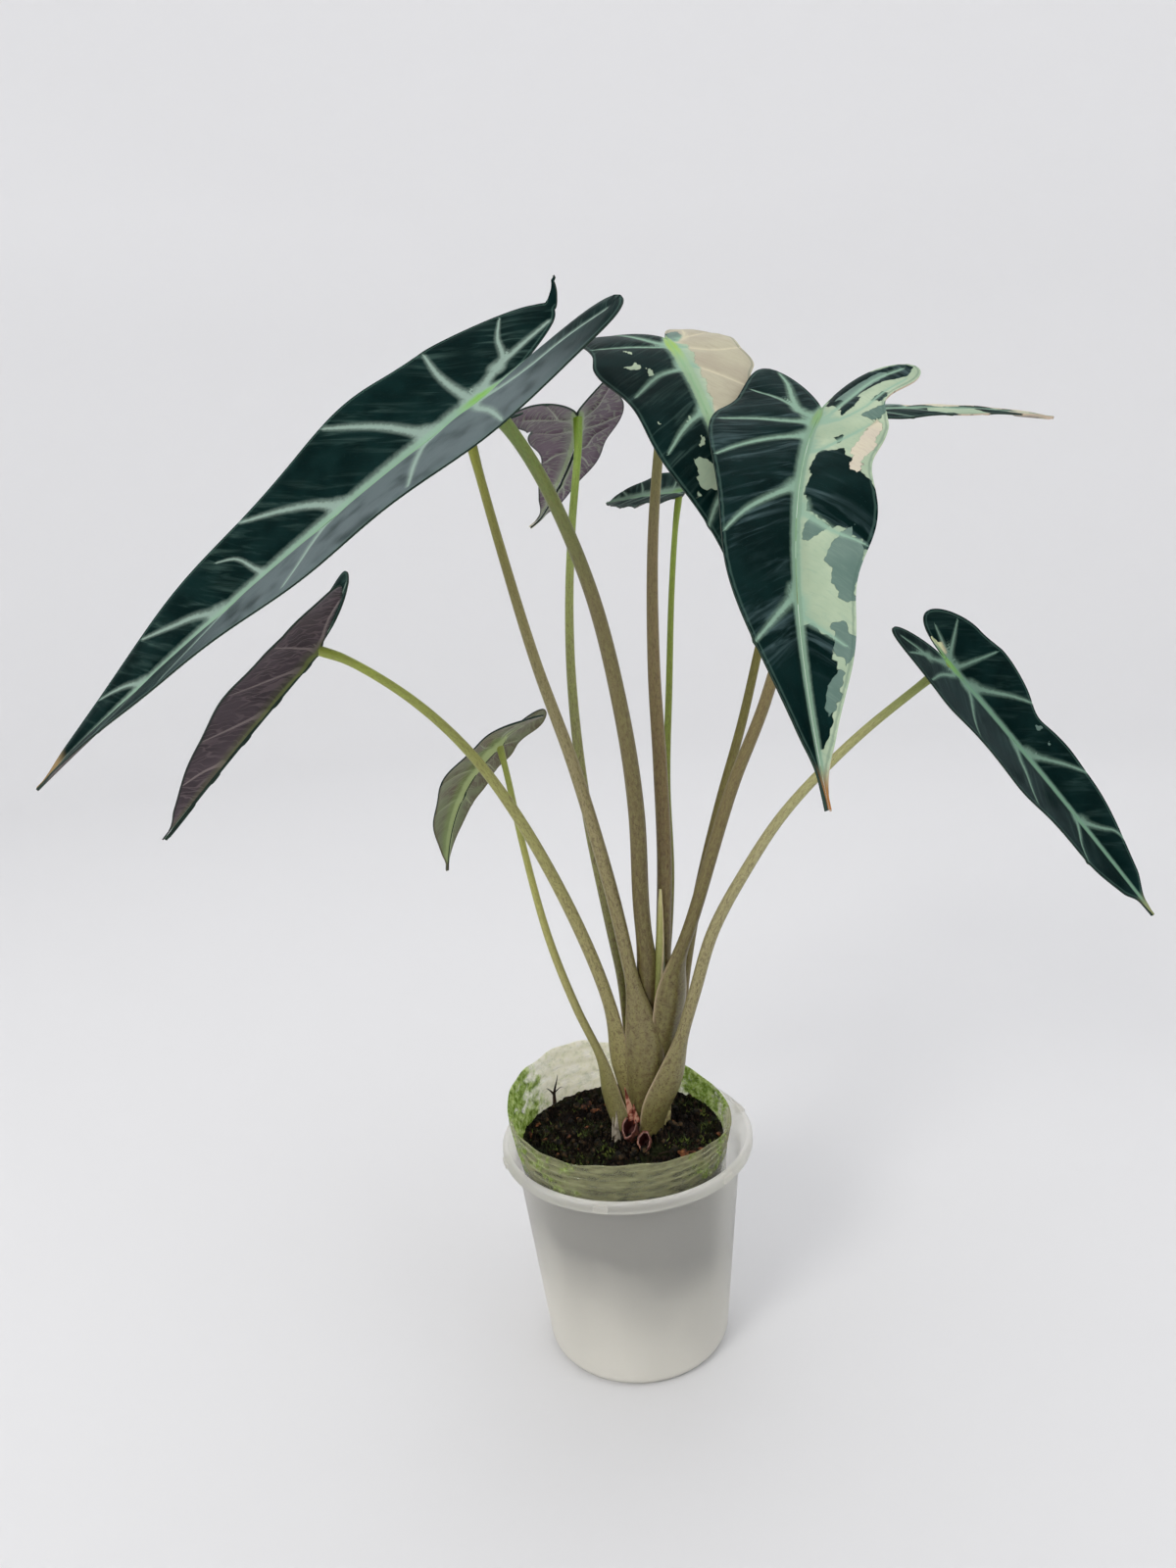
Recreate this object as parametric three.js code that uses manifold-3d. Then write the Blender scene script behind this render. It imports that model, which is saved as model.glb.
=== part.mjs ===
import * as THREE from 'three';
import { mergeVertices } from 'three/addons/utils/BufferGeometryUtils.js';
import Module from 'manifold-3d';

// A potted alocasia: ten arrowhead leaves on long stalks, standing in a clear nursery pot that is
// pushed into a taller frosted cup. Millimetres, +Z up, origin at the middle of the cup's flat base.

const gap = 0.3; // clearance between pieces that touch
const rad = THREE.MathUtils.degToRad;
const vec = (list) => new THREE.Vector3(...list);

// Frosted outer cup
const cup = {
  baseRadius: 33,
  neckRadius: 40.2, // outside, just under the lip
  lipRadius: 44.7,
  mouthRadius: 42.4,
  height: 79.5,
  lipHeight: 4,
  wall: 0.9,
  floor: 1.4,
  heel: 4, // rounding between base and wall
  groove: [21, 25], // shallow ring moulded into the flat base
  grooveDepth: 0.4,
  lugs: 6,
  lugFrom: -44, // degrees
  lugSize: [2.4, 5, 2.4],
  sides: 44,
};

// Clear inner pot. It wedges in the cup with its own floor well above the cup's.
const pot = {
  bottom: 28,
  bottomRadius: 31.4,
  waistHeight: 73,
  waistRadius: 36.8,
  rimHeight: 91.5,
  rimRadius: 39.4,
  wall: 0.8,
  floor: 1.2,
  lean: [-2.2, -1.8], // shift of the rim's centre
  ribs: [80, 82.5, 84, 86.5, 88], // heights of the ridges and grooves below the rim, in turn
  ribDepth: 0.35,
  rimTilt: 4.8, // the cut rim runs high at the back left
  rimTiltTo: 150,
  rimRoll: 2.4,
  rimRollTo: 112,
  sides: 40,
};

// Peaty soil with a low mound round the stem
const soil = { level: 78.3, mound: 4.6, moundSpread: 15, lump: 0.8, rings: 7, sides: 36 };

// Short upright stem that all stalks grow from
const stem = { at: [8, 1.5], foot: 60, shoulder: 86, top: 97, radius: 9, waist: 6.5, neck: 3, sides: 18 };

// Cut ends of old stalks, from the stem outwards
const stubs = [
  { name: 'old_stalk_stub_1', from: [3.5, -3, 77], to: [0.6, -10.4, 87], radius: 3.3 },
  { name: 'old_stalk_stub_2', from: [7.5, -6, 74], to: [5.4, -15.4, 84], radius: 2.9 },
];

// Furled new leaf between the stalks
const shoot = {
  route: [[11, 1, 104], [14, -1, 126], [15.6, -2.3, 148], [16.9, -2.7, 170]],
  radius: 2.1,
  tip: 0.5,
};

// Blades
const bladeThick = 0.8;
const keelDepth = 0.9; // how far the midrib stands out below the blade
const keelWidth = 1.7;
const arch = 0.45; // where along the blade its midrib is highest
const neckWidth = 0.94; // the blade is this much narrower at the stalk
const neckReach = 0.12;
const columns = [0, 0.16, 0.56, 1]; // strips of each half, as shares of its width
const stalkSides = 8;
const sheathThin = 0.55; // how much flatter than wide a sheath is

// Leaves, outermost stalk first. Pairs are [left, right], seen from the stalk towards the tip with
// the face up. junction, tip: ends of the midrib. face: where the upper side looks; roll: turn about
// the line to the tip; twist: further turn on the way to the tip; bow, sweep: how far the midrib
// arches above that line and to its side. half: greatest width of each half. fold, curl: rise of
// each half and how that changes towards its margin; open: how the fold grows towards the tip.
// lobe: length of the basal lobes; lift, splay: how they rise and spread; lobeRound: how blunt they
// end; sinus: how far the blade runs on behind the stalk. taper: powers of the front outline.
// scallop, bumps, shift: size, number and start of the margin's swells; ripple: its height.
// route: middle of the stalk from the stem up. sheath: foot radius, greatest half width and its
// height, reach above that, and the bearing that its back faces. stalk, neck: radii.
const leaves = [
  {
    name: 'leaf_low_left', tone: 'olive', rows: 11,
    junction: [-36, 30, 218.5], tip: [-62, 50.5, 166.5], face: [-0.6, 0.6, 0.6], roll: -14, twist: 17,
    bow: 5, sweep: 2.3, half: [15.7, 13.9], fold: [9, 9], curl: [-13, -43], open: [0.3, 0.35],
    lobe: [23.5, 20.8], lift: [-14, 3], splay: [-1.8, 3.7], lobeRound: [2.1, 2.3], sinus: 5,
    taper: [2.05, 1.22], scallop: [0.07, 0.02], bumps: [2.7, 3.1], shift: [-0.34, -0.11], ripple: 0.5,
    route: [[1, 0.5, 86], [-4, 0.8, 91], [-7, 2.6, 106], [-15, 6, 126], [-23, 11.3, 151],
      [-30, 20, 185], [-33.5, 26.5, 207]],
    sheath: { foot: 2.8, wide: 3.2, at: 96, reach: 22, faces: 185 }, stalk: 1.5, neck: 1.1,
  },
  {
    name: 'leaf_right', tone: 'dark', rows: 14,
    junction: [105.5, -30, 243.2], tip: [169.3, -32.6, 159.9], face: [0.5, -0.4, 0.8], roll: 29.7,
    twist: -1, bow: 0.8, sweep: 0, half: [16.6, 18.1], fold: [9, 1], curl: [1, 37], open: [0.13, 0.19],
    lobe: [16.1, 21.1], lift: [2, 0.7], splay: [-2.7, 2.1], lobeRound: [1.66, 1.68], sinus: 2.5,
    taper: [2.02, 0.77], scallop: [0.1, 0.09], bumps: [1.74, 2.69], shift: [-0.05, 0.72], ripple: 0.5,
    route: [[12, -4, 92], [15, -6, 100], [20, -7.7, 115], [26, -10.3, 135], [33, -13.7, 158],
      [44, -17, 179], [57, -20.7, 199], [78, -24.7, 221], [97, -27.8, 236.5]],
    sheath: { foot: 5, wide: 5.4, at: 100, reach: 26, faces: -50 }, stalk: 2.1, neck: 1.3,
  },
  {
    name: 'leaf_left', tone: 'dark', rows: 13,
    junction: [-88, -5, 259.2], tip: [-149.4, 3.6, 198.5], face: [-0.8, 0.25, 0.6], roll: -14.3,
    twist: 16, bow: 0.3, sweep: 1.1, half: [18, 17.5], fold: [41, 30], curl: [-25, 8],
    open: [0.7, 0.2], lobe: [26.6, 26.4], lift: [-6, 8], splay: [7, 2], lobeRound: [1.4, 2.2],
    sinus: 2.2, taper: [1.9, 1.1], scallop: [0.03, 0.03], bumps: [2.95, 3], shift: [-0.05, 0],
    ripple: 0.4,
    route: [[3, 0, 90], [0, -0.8, 106], [-3, -1.3, 129], [-13, -2.2, 162], [-29.5, -3.2, 200],
      [-43.5, -3.9, 223], [-60, -4.4, 241], [-79, -4.9, 255]],
    sheath: { foot: 3.2, wide: 4.2, at: 106, reach: 30, faces: 190 }, stalk: 2.2, neck: 1.4,
  },
  {
    name: 'leaf_behind_front', tone: 'dark', rows: 13,
    junction: [-34, 0, 323], tip: [-104, 57.5, 300], face: [-0.2, 0.2, 1], roll: 0, twist: 6, bow: 5,
    sweep: 0, half: [15, 15], fold: [14, 14], curl: [8, 8], open: [0.2, 0.2], lobe: [17, 17],
    lift: [2, 2], splay: [1, -1], lobeRound: [2.2, 2.2], sinus: 5, taper: [1.9, 1],
    scallop: [0.04, 0.05], bumps: [3, 3], shift: [0, 0.3], ripple: 0.8,
    route: [[7, -2.5, 92], [7.5, -3.6, 102], [8, -3.8, 116], [4, -3.3, 148], [-0.5, -3, 175],
      [-9, -2.6, 214], [-19, -2, 250], [-27.5, -1, 288], [-33, -0.2, 316]],
    sheath: { foot: 4, wide: 7.4, at: 116, reach: 26, faces: -94 }, stalk: 2.4, neck: 1.4,
  },
  {
    name: 'leaf_front_right', tone: 'marbled', rows: 15,
    junction: [60, -65, 313], tip: [41, -151, 233], face: [0.1, -0.5, 0.85], roll: 22, twist: -33,
    bow: 8.3, sweep: -4.4, half: [18.4, 22.9], fold: [22, 22], curl: [-38, 1], open: [0.15, 0.26],
    lobe: [23.5, 22.4], lift: [4.4, -2.3], splay: [11.9, 6.4], lobeRound: [2.9, 1.6], sinus: 5,
    taper: [2.83, 1.17], scallop: [0.08, -0.08], bumps: [2.95, 1.81], shift: [0, 0.5], ripple: 0.8,
    route: [[12, 0.8, 95], [14.5, -0.6, 108], [17.5, -2.6, 126], [20, -5, 141], [27, -9.3, 162],
      [40, -22, 208], [50, -32, 237], [58, -47, 275], [60, -60, 302]],
    sheath: { foot: 3.6, wide: 6.6, at: 130, reach: 24, faces: -62 }, stalk: 2.2, neck: 1.5,
  },
  {
    name: 'leaf_front', tone: 'dark', rows: 16,
    junction: [-25.6, -55, 324.6], tip: [-171.3, -30.6, 225.6], face: [-0.35, -0.55, 0.8],
    roll: -9.7, twist: 2.4, bow: 10.2, sweep: 11.7, half: [30.7, 30.2], fold: [20, 6],
    curl: [-6.6, 8], open: [0.31, 0.39], lobe: [37.9, 33.4], lift: [6.3, -0.8], splay: [5.6, -1.9],
    lobeRound: [3.3, 1.4], sinus: 13.5, taper: [1.96, 1.15], scallop: [0.01, 0.05],
    bumps: [3.1, 2.2], shift: [0.66, 0.22], ripple: 1,
    route: [[10, 3, 94], [10.5, 1.6, 118], [11, -1.2, 140], [10, -5.4, 165], [10, -13.3, 201],
      [7, -22.4, 234], [0, -34.5, 272], [-11, -45.8, 303], [-20, -52, 318.5]],
    sheath: { foot: 3.4, wide: 4.8, at: 124, reach: 34, faces: -88 }, stalk: 2.8, neck: 1.8,
  },
  {
    name: 'leaf_half_cream', tone: 'marbled', rows: 14,
    junction: [27.3, -30, 338.2], tip: [40.2, -101.7, 255.1], face: [0.2, -0.2, 0.95], roll: 11.4,
    twist: -16.4, bow: 9.8, sweep: -0.3, half: [21.8, 24.5], fold: [-3.4, -2.1], curl: [-3.2, -8.3],
    open: [0.21, 0.21], lobe: [28.9, 26.5], lift: [-7.8, -9.4], splay: [4.5, 6.8],
    lobeRound: [3.18, 1.99], sinus: 6.6, taper: [1.7, 1.2], scallop: [0.13, 0.06], bumps: [3, 2.4],
    shift: [0.84, 0], ripple: 0.6,
    route: [[12, 6, 92], [15, 5.4, 118], [17, 3.2, 146], [19, -0.8, 180], [19, -6, 214],
      [18.5, -11.5, 248], [20, -18.8, 287], [24, -25.4, 320]],
    sheath: { foot: 2.8, wide: 4.6, at: 116, reach: 36, faces: 75 }, stalk: 2.6, neck: 1.4,
  },
  {
    name: 'leaf_back_left', tone: 'dark', rows: 12,
    junction: [0.6, 40, 329], tip: [-19, 120.5, 294.7], face: [-0.1, 0.5, 0.85], roll: -6.7,
    twist: 31.6, bow: 3.2, sweep: -6.2, half: [20, 21], fold: [17, 18], curl: [-38, 8],
    open: [0.37, 0.3], lobe: [23.5, 20.9], lift: [-2.5, -4.6], splay: [12.4, 12.7],
    lobeRound: [2.9, 1.6], sinus: 2.5, taper: [1.31, 0.93], scallop: [0.1, 0.08], bumps: [2.2, 3.2],
    shift: [-0.56, -0.5], ripple: 0.7,
    route: [[6, 6, 92], [4.5, 9.5, 112], [2.5, 11.8, 132], [-1, 14, 156], [-6, 18.6, 194],
      [-8, 24, 235], [-7, 28.7, 264], [-4, 33.4, 292], [0, 38, 318]],
    sheath: { foot: 2.4, wide: 3.4, at: 112, reach: 26, faces: 120 }, stalk: 2.0, neck: 1.3,
  },
  {
    name: 'leaf_far_right', tone: 'marbled', rows: 12,
    junction: [86.8, 15, 321.1], tip: [165.5, 39.6, 317.4], face: [0, -0.1, 1], roll: 6.8, twist: 4.8,
    bow: 2, sweep: -0.4, half: [13.5, 13.5], fold: [1, -1], curl: [-9, -8], open: [0.2, 0.2],
    lobe: [21, 21], lift: [8, 8], splay: [2, 2], lobeRound: [2.2, 2.2], sinus: 5, taper: [1.9, 1],
    scallop: [0.03, 0.03], bumps: [3, 3], shift: [0.74, 0.15], ripple: 0.3,
    route: [[14, 4, 92], [21, 8.6, 112], [25, 10.4, 134], [31, 11.5, 162], [40, 12, 194],
      [49, 12.6, 222], [61, 13.7, 264], [71, 14.4, 288], [82, 15, 311]],
    sheath: { foot: 2.4, wide: 3.4, at: 108, reach: 30, faces: 40 }, stalk: 1.8, neck: 1.2,
  },
  {
    name: 'leaf_back_small', tone: 'dark', rows: 10,
    junction: [33.7, 35, 300.8], tip: [10.3, 87.3, 300.8], face: [0, 0, 1], roll: -18.3, twist: -17,
    bow: 0.5, sweep: 0.3, half: [12.6, 11.9], fold: [6, 17], curl: [-5, 7], open: [0.19, 0.23],
    lobe: [13.7, 13.7], lift: [1.5, 8], splay: [5, 2], lobeRound: [2.3, 2.2], sinus: 4,
    taper: [1.96, 1.03], scallop: [0.05, 0.03], bumps: [3.1, 3], shift: [0.23, 0.22], ripple: 0.5,
    route: [[10, 6, 92], [13, 12, 112], [17.5, 15, 130], [22, 18, 166], [23, 21.7, 202],
      [26, 25.7, 235], [29, 30.2, 267], [32, 34, 290]],
    sheath: { foot: 2.2, wide: 2.6, at: 110, reach: 26, faces: 80 }, stalk: 1.5, neck: 1.0,
  },
];

const wasm = await Module();
wasm.setup();

// Solids and meshes
function toSolid(source) {
  const bare = source.clone();
  bare.deleteAttribute('normal');
  bare.deleteAttribute('uv');
  const merged = mergeVertices(bare, 1e-4);
  const triVerts = new Uint32Array(merged.index.array);
  const vertProperties = new Float32Array(merged.attributes.position.array);
  const solid = new wasm.Manifold(new wasm.Mesh({ numProp: 3, vertProperties, triVerts }));
  return solid;
}

function toGeometry(solid) {
  const mesh = solid.getMesh();
  const geometry = new THREE.BufferGeometry();
  geometry.setAttribute('position', new THREE.BufferAttribute(mesh.vertProperties, 3));
  geometry.setIndex(new THREE.BufferAttribute(mesh.triVerts, 1));
  return geometry;
}

function largestBody(solid) {
  const bodies = solid.decompose();
  return bodies.reduce((best, body) => (body.volume() > best.volume() ? body : best));
}

function turned(outline, sides) {
  const points = outline.map(([r, z]) => new THREE.Vector2(r, z));
  return new THREE.LatheGeometry(points, sides).rotateX(Math.PI / 2);
}

function reshape(geometry, change) {
  const place = geometry.attributes.position;
  for (let i = 0; i < place.count; i += 1) {
    const point = new THREE.Vector3().fromBufferAttribute(place, i);
    change(point);
    place.setXYZ(i, point.x, point.y, point.z);
  }
  return geometry;
}

// Frosted cup: flat base, rounded heel, tapered wall, thick lip with small moulded lugs
function cupSolid() {
  const c = cup;
  const under = c.height - c.lipHeight;
  const heelPoint = (share, radius) => {
    const turn = share * Math.PI * 0.5;
    return [c.baseRadius - c.heel + radius * Math.sin(turn), c.heel - radius * Math.cos(turn)];
  };
  const outline = [
    [0, 0],
    [c.groove[0], 0],
    [c.groove[0] + 0.5, c.grooveDepth],
    [c.groove[1] - 0.5, c.grooveDepth],
    [c.groove[1], 0],
    heelPoint(0, c.heel),
    heelPoint(0.5, c.heel),
    heelPoint(1, c.heel),
    [c.neckRadius, under - 1.2],
    [c.lipRadius - 0.5, under],
    [c.lipRadius, under + 0.6],
    [c.lipRadius, c.height - 0.8],
    [c.lipRadius - 0.8, c.height],
    [c.mouthRadius + 0.5, c.height],
    [c.mouthRadius, c.height - 0.5],
    [c.neckRadius - c.wall, under - 3],
    [c.baseRadius - c.wall, c.heel + c.wall],
    heelPoint(0.5, c.heel - c.wall),
    [c.baseRadius - c.heel, c.floor],
    [0, c.floor],
  ];
  let solid = toSolid(turned(outline, c.sides));
  for (let i = 0; i < c.lugs; i += 1) {
    const lug = new THREE.BoxGeometry(...c.lugSize);
    lug.translate(c.lipRadius - 0.6, 0, under + c.lipHeight * 0.5);
    lug.rotateZ(rad(c.lugFrom + (360 / c.lugs) * i));
    solid = solid.add(toSolid(lug));
  }
  return solid;
}

// Clear pot: outside radius at a height, then the lean and the uneven cut rim
function potRadius(z) {
  const p = pot;
  if (z < p.waistHeight) {
    const share = (z - p.bottom) / (p.waistHeight - p.bottom);
    return THREE.MathUtils.lerp(p.bottomRadius, p.waistRadius, share);
  }
  const share = (z - p.waistHeight) / (p.rimHeight - p.waistHeight);
  const plain = THREE.MathUtils.lerp(p.waistRadius, p.rimRadius, share);
  const rib = p.ribs.indexOf(z);
  if (rib < 0) return plain;
  return plain + p.ribDepth * (rib % 2 === 0 ? 1 : -1);
}

function potPlace(point) {
  const p = pot;
  const bearing = Math.atan2(point.y, point.x);
  const share = (point.z - p.bottom) / (p.rimHeight - p.bottom);
  point.x += p.lean[0] * share;
  point.y += p.lean[1] * share;
  const cut = Math.max((point.z - p.ribs[0]) / (p.rimHeight - p.ribs[0]), 0);
  const tilt = p.rimTilt * Math.cos(bearing - rad(p.rimTiltTo));
  point.z += cut * (tilt + p.rimRoll * Math.cos(2 * (bearing - rad(p.rimRollTo))));
}

function potSolid() {
  const p = pot;
  const heights = [p.bottom + 2, p.waistHeight, ...p.ribs, p.rimHeight];
  const outside = heights.map((z) => [potRadius(z), z]);
  const inside = heights.map((z) => [potRadius(z) - p.wall, z]).reverse();
  inside[inside.length - 1][1] += p.floor;
  const outline = [
    [0, p.bottom],
    [p.bottomRadius - 1.5, p.bottom],
    ...outside,
    ...inside,
    [p.bottomRadius - 3, p.bottom + p.floor],
    [0, p.bottom + p.floor],
  ];
  return toSolid(reshape(turned(outline, p.sides), potPlace));
}

// Soil: fills the pot, lumpy on top, with plain holes for the stem and stubs
function lumps(x, y) {
  return Math.sin(x * 0.61 + 1.3) * Math.cos(y * 0.53 - 0.4) + 0.6 * Math.sin(x * 0.27 - y * 0.83);
}

function soilTop(x, y) {
  const away = Math.hypot(x - stem.at[0], y - stem.at[1]);
  return soil.mound * Math.exp(-((away / soil.moundSpread) ** 2)) + soil.lump * lumps(x, y);
}

function soilSolid(holes) {
  const floor = pot.bottom + pot.floor + gap;
  const inner = (z) => potRadius(z) - pot.wall - gap;
  const outline = [[0, floor], [inner(floor) - 2, floor], [inner(floor + 2), floor + 2]];
  outline.push([inner(pot.waistHeight), pot.waistHeight]);
  for (let i = 0; i <= soil.rings; i += 1) {
    outline.push([inner(soil.level) * (1 - i / soil.rings), soil.level]);
  }
  const ground = reshape(turned(outline, soil.sides), (point) => {
    const top = point.z > soil.level - 0.01;
    potPlace(point);
    const edge = Math.hypot(point.x, point.y) / pot.waistRadius;
    if (top) point.z = soil.level + soilTop(point.x, point.y) * (edge > 0.93 ? 0.4 : 1);
  });
  return holes.reduce((body, hole) => body.subtract(hole), toSolid(ground));
}

// Stem, with its widest part at soil level
function stemSolid(extra) {
  const s = stem;
  const outline = [
    [0, s.foot - extra],
    [s.waist + extra, s.foot - extra],
    [s.waist + extra, s.foot + 10],
    [s.radius + extra, s.shoulder - 6],
    [s.radius + extra, s.shoulder],
    [s.waist + extra, s.top - 5],
    [s.neck + extra, s.top + extra],
    [0, s.top + extra],
  ];
  return toSolid(turned(outline, s.sides).translate(s.at[0], s.at[1], 0));
}

// A rod bent along a route; size(share, point) gives its half width and half depth there, and
// across the direction of the wide side
function bentRod(route, sides, steps, across, size) {
  const curve = new THREE.CatmullRomCurve3(route.map(vec), false, 'centripetal');
  const rod = new THREE.CylinderGeometry(1, 1, 1, sides, steps);
  return reshape(rod, (point) => {
    const share = THREE.MathUtils.clamp(point.y + 0.5, 0, 1);
    const middle = curve.getPointAt(share);
    const along = curve.getTangentAt(share);
    const side = across.clone().projectOnPlane(along).normalize();
    const out = new THREE.Vector3().crossVectors(side, along);
    const [wide, deep] = size(share, middle);
    const x = point.x * wide;
    const z = point.z * deep;
    point.copy(middle).addScaledVector(side, x).addScaledVector(out, z);
  });
}

// Midrib of a blade: its curve, the direction in which it runs on behind the stalk, and its face
function spineOf(leaf) {
  const start = vec(leaf.junction);
  const end = vec(leaf.tip);
  const length = start.distanceTo(end);
  const along = end.clone().sub(start).normalize();
  const face = vec(leaf.face).projectOnPlane(along).normalize();
  face.applyAxisAngle(along, rad(leaf.roll));
  const left = new THREE.Vector3().crossVectors(face, along);
  const crown = start.clone().lerp(end, arch);
  crown.addScaledVector(face, 2 * leaf.bow).addScaledVector(left, 2 * leaf.sweep);
  return { start, crown, end, face, length };
}

function spineAt(spine, s) {
  const { start, crown, end, face, length } = spine;
  const t = Math.max(s, 0);
  const curve = new THREE.QuadraticBezierCurve3(start, crown, end);
  const point = curve.getPoint(t);
  const first = crown.clone().sub(start);
  const last = end.clone().sub(crown);
  const along = first.clone().lerp(last, t).normalize();
  if (s < 0) point.addScaledVector(first.normalize(), s * length);
  const up = face.clone().projectOnPlane(along).normalize();
  return { point, along, up };
}

// Outline of one half: distance of its outer and inner edge from the midrib. s is 1 at the tip,
// 0 at the stalk and negative in the lobes.
function outerEdge(leaf, length, i, s) {
  const wide = leaf.half[i];
  if (s >= 0) {
    const neck = 1 - (1 - neckWidth) * Math.exp(-((s / neckReach) ** 2));
    const wave = Math.sin(2 * Math.PI * (leaf.bumps[i] * s - leaf.shift[i]));
    const swell = 1 + leaf.scallop[i] * wave * Math.min(s / 0.1, 1);
    const front = (1 - s ** leaf.taper[0]) ** leaf.taper[1];
    return wide * neck * swell * front;
  }
  return lobeEdge(leaf, length, i, s, 1);
}

function lobeEdge(leaf, length, i, s, sign) {
  const q = Math.min((-s * length) / leaf.lobe[i], 1);
  const reach = leaf.half[i] * neckWidth * 0.5;
  const round = Math.sqrt(Math.max(1 - q ** leaf.lobeRound[i], 0));
  return reach + leaf.splay[i] * q ** 1.6 + sign * reach * round;
}

function innerEdge(leaf, length, i, s) {
  const sinus = leaf.sinus / length;
  if (-s <= sinus + 1e-6) return 0;
  const q = (-s * length) / leaf.lobe[i];
  const start = leaf.sinus / leaf.lobe[i];
  const on = (q - start) / (1 - start);
  const base = lobeEdge(leaf, length, i, -sinus, -1);
  return Math.max(lobeEdge(leaf, length, i, s, -1) - base * (1 - on) ** 2, 0);
}

function bladePoint(leaf, spine, i, s, across) {
  const hand = i === 0 ? 1 : -1;
  const { point, along, up } = spineAt(spine, s);
  up.applyAxisAngle(along, rad(leaf.twist * Math.max(s, 0)));
  const side = new THREE.Vector3().crossVectors(up, along).multiplyScalar(hand);
  const wide = leaf.half[i];
  const share = across / wide;
  const fold = rad(leaf.fold[i]) * (1 + leaf.open[i] * Math.max(s, 0));
  const curl = rad(leaf.curl[i]);
  const out = (wide / curl) * (Math.sin(fold + curl * share) - Math.sin(fold));
  let rise = (-wide / curl) * (Math.cos(fold + curl * share) - Math.cos(fold));
  const back = Math.max(-s, 0) * spine.length;
  rise += (Math.tan(rad(leaf.lift[i])) * back * back) / leaf.lobe[i];
  const beat = 2 * Math.PI * (leaf.bumps[i] * s - leaf.shift[i] + 0.25);
  rise += leaf.ripple * Math.min(share, 1) ** 2 * Math.sin(beat);
  return point.addScaledVector(side, out).addScaledVector(up, rise);
}

// One blade as a sheet: rows from the tip back to the ends of the lobes
function bladeSheet(leaf) {
  const spine = spineOf(leaf);
  const { length } = spine;
  const front = [];
  for (let j = 0; j <= leaf.rows; j += 1) front.push(1 - (j / leaf.rows) ** 1.2);
  front.push(-leaf.sinus / length);
  const lobeRows = 4;
  const points = [];
  const keel = [];
  const triangles = [];
  const add = (point, across) => {
    points.push(point);
    keel.push(across);
    return points.length - 1;
  };
  const middle = front.map((s) => add(spineAt(spine, s).point, 0));
  for (const i of [0, 1]) {
    const start = leaf.sinus / leaf.lobe[i];
    const rows = [...front];
    for (let j = 1; j <= lobeRows; j += 1) {
      const q = 1 - (1 - start) * (1 - j / lobeRows) ** 1.7;
      rows.push((-q * leaf.lobe[i]) / length);
    }
    const grid = rows.map((s, row) => {
      if (row === 0) return columns.map(() => middle[0]);
      const inner = innerEdge(leaf, length, i, s);
      const outer = outerEdge(leaf, length, i, s);
      if (row === rows.length - 1) {
        const end = add(bladePoint(leaf, spine, i, s, outer), outer);
        return columns.map(() => end);
      }
      return columns.map((share, column) => {
        if (column === 0 && row < front.length) return middle[row];
        const across = inner + share * (outer - inner);
        return add(bladePoint(leaf, spine, i, s, across), across);
      });
    });
    for (let row = 0; row < rows.length - 1; row += 1) {
      for (let column = 0; column < columns.length - 1; column += 1) {
        const [a, b] = [grid[row][column], grid[row][column + 1]];
        const [c, d] = [grid[row + 1][column], grid[row + 1][column + 1]];
        for (const corner of [[a, b, d], [a, d, c]]) {
          if (new Set(corner).size < 3) continue;
          triangles.push(i === 0 ? corner : [corner[0], corner[2], corner[1]]);
        }
      }
    }
  }
  return { points, keel, triangles };
}

// Gives a sheet its thickness, split alike on both faces, with walls along its open edges
function thicken({ points, keel, triangles }, extra) {
  const normals = points.map(() => new THREE.Vector3());
  const open = new Map();
  for (const [a, b, c] of triangles) {
    const first = points[b].clone().sub(points[a]);
    const face = first.cross(points[c].clone().sub(points[a]));
    for (const corner of [a, b, c]) normals[corner].add(face);
    for (const [from, to] of [[a, b], [b, c], [c, a]]) {
      if (!open.delete(`${to} ${from}`)) open.set(`${from} ${to}`, [from, to]);
    }
  }
  const count = points.length;
  const corners = [];
  normals.forEach((normal) => normal.normalize());
  points.forEach((point, n) => {
    corners.push(...point.clone().addScaledVector(normals[n], bladeThick / 2 + extra).toArray());
  });
  points.forEach((point, n) => {
    const depth = bladeThick / 2 + keelDepth * Math.exp(-((keel[n] / keelWidth) ** 2));
    corners.push(...point.clone().addScaledVector(normals[n], -depth - extra).toArray());
  });
  const index = [];
  for (const [a, b, c] of triangles) index.push(a, b, c, a + count, c + count, b + count);
  for (const [a, b] of open.values()) index.push(b, a, a + count, b, a + count, b + count);
  const geometry = new THREE.BufferGeometry();
  geometry.setAttribute('position', new THREE.BufferAttribute(new Float32Array(corners), 3));
  geometry.setIndex(index);
  return geometry;
}

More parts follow.
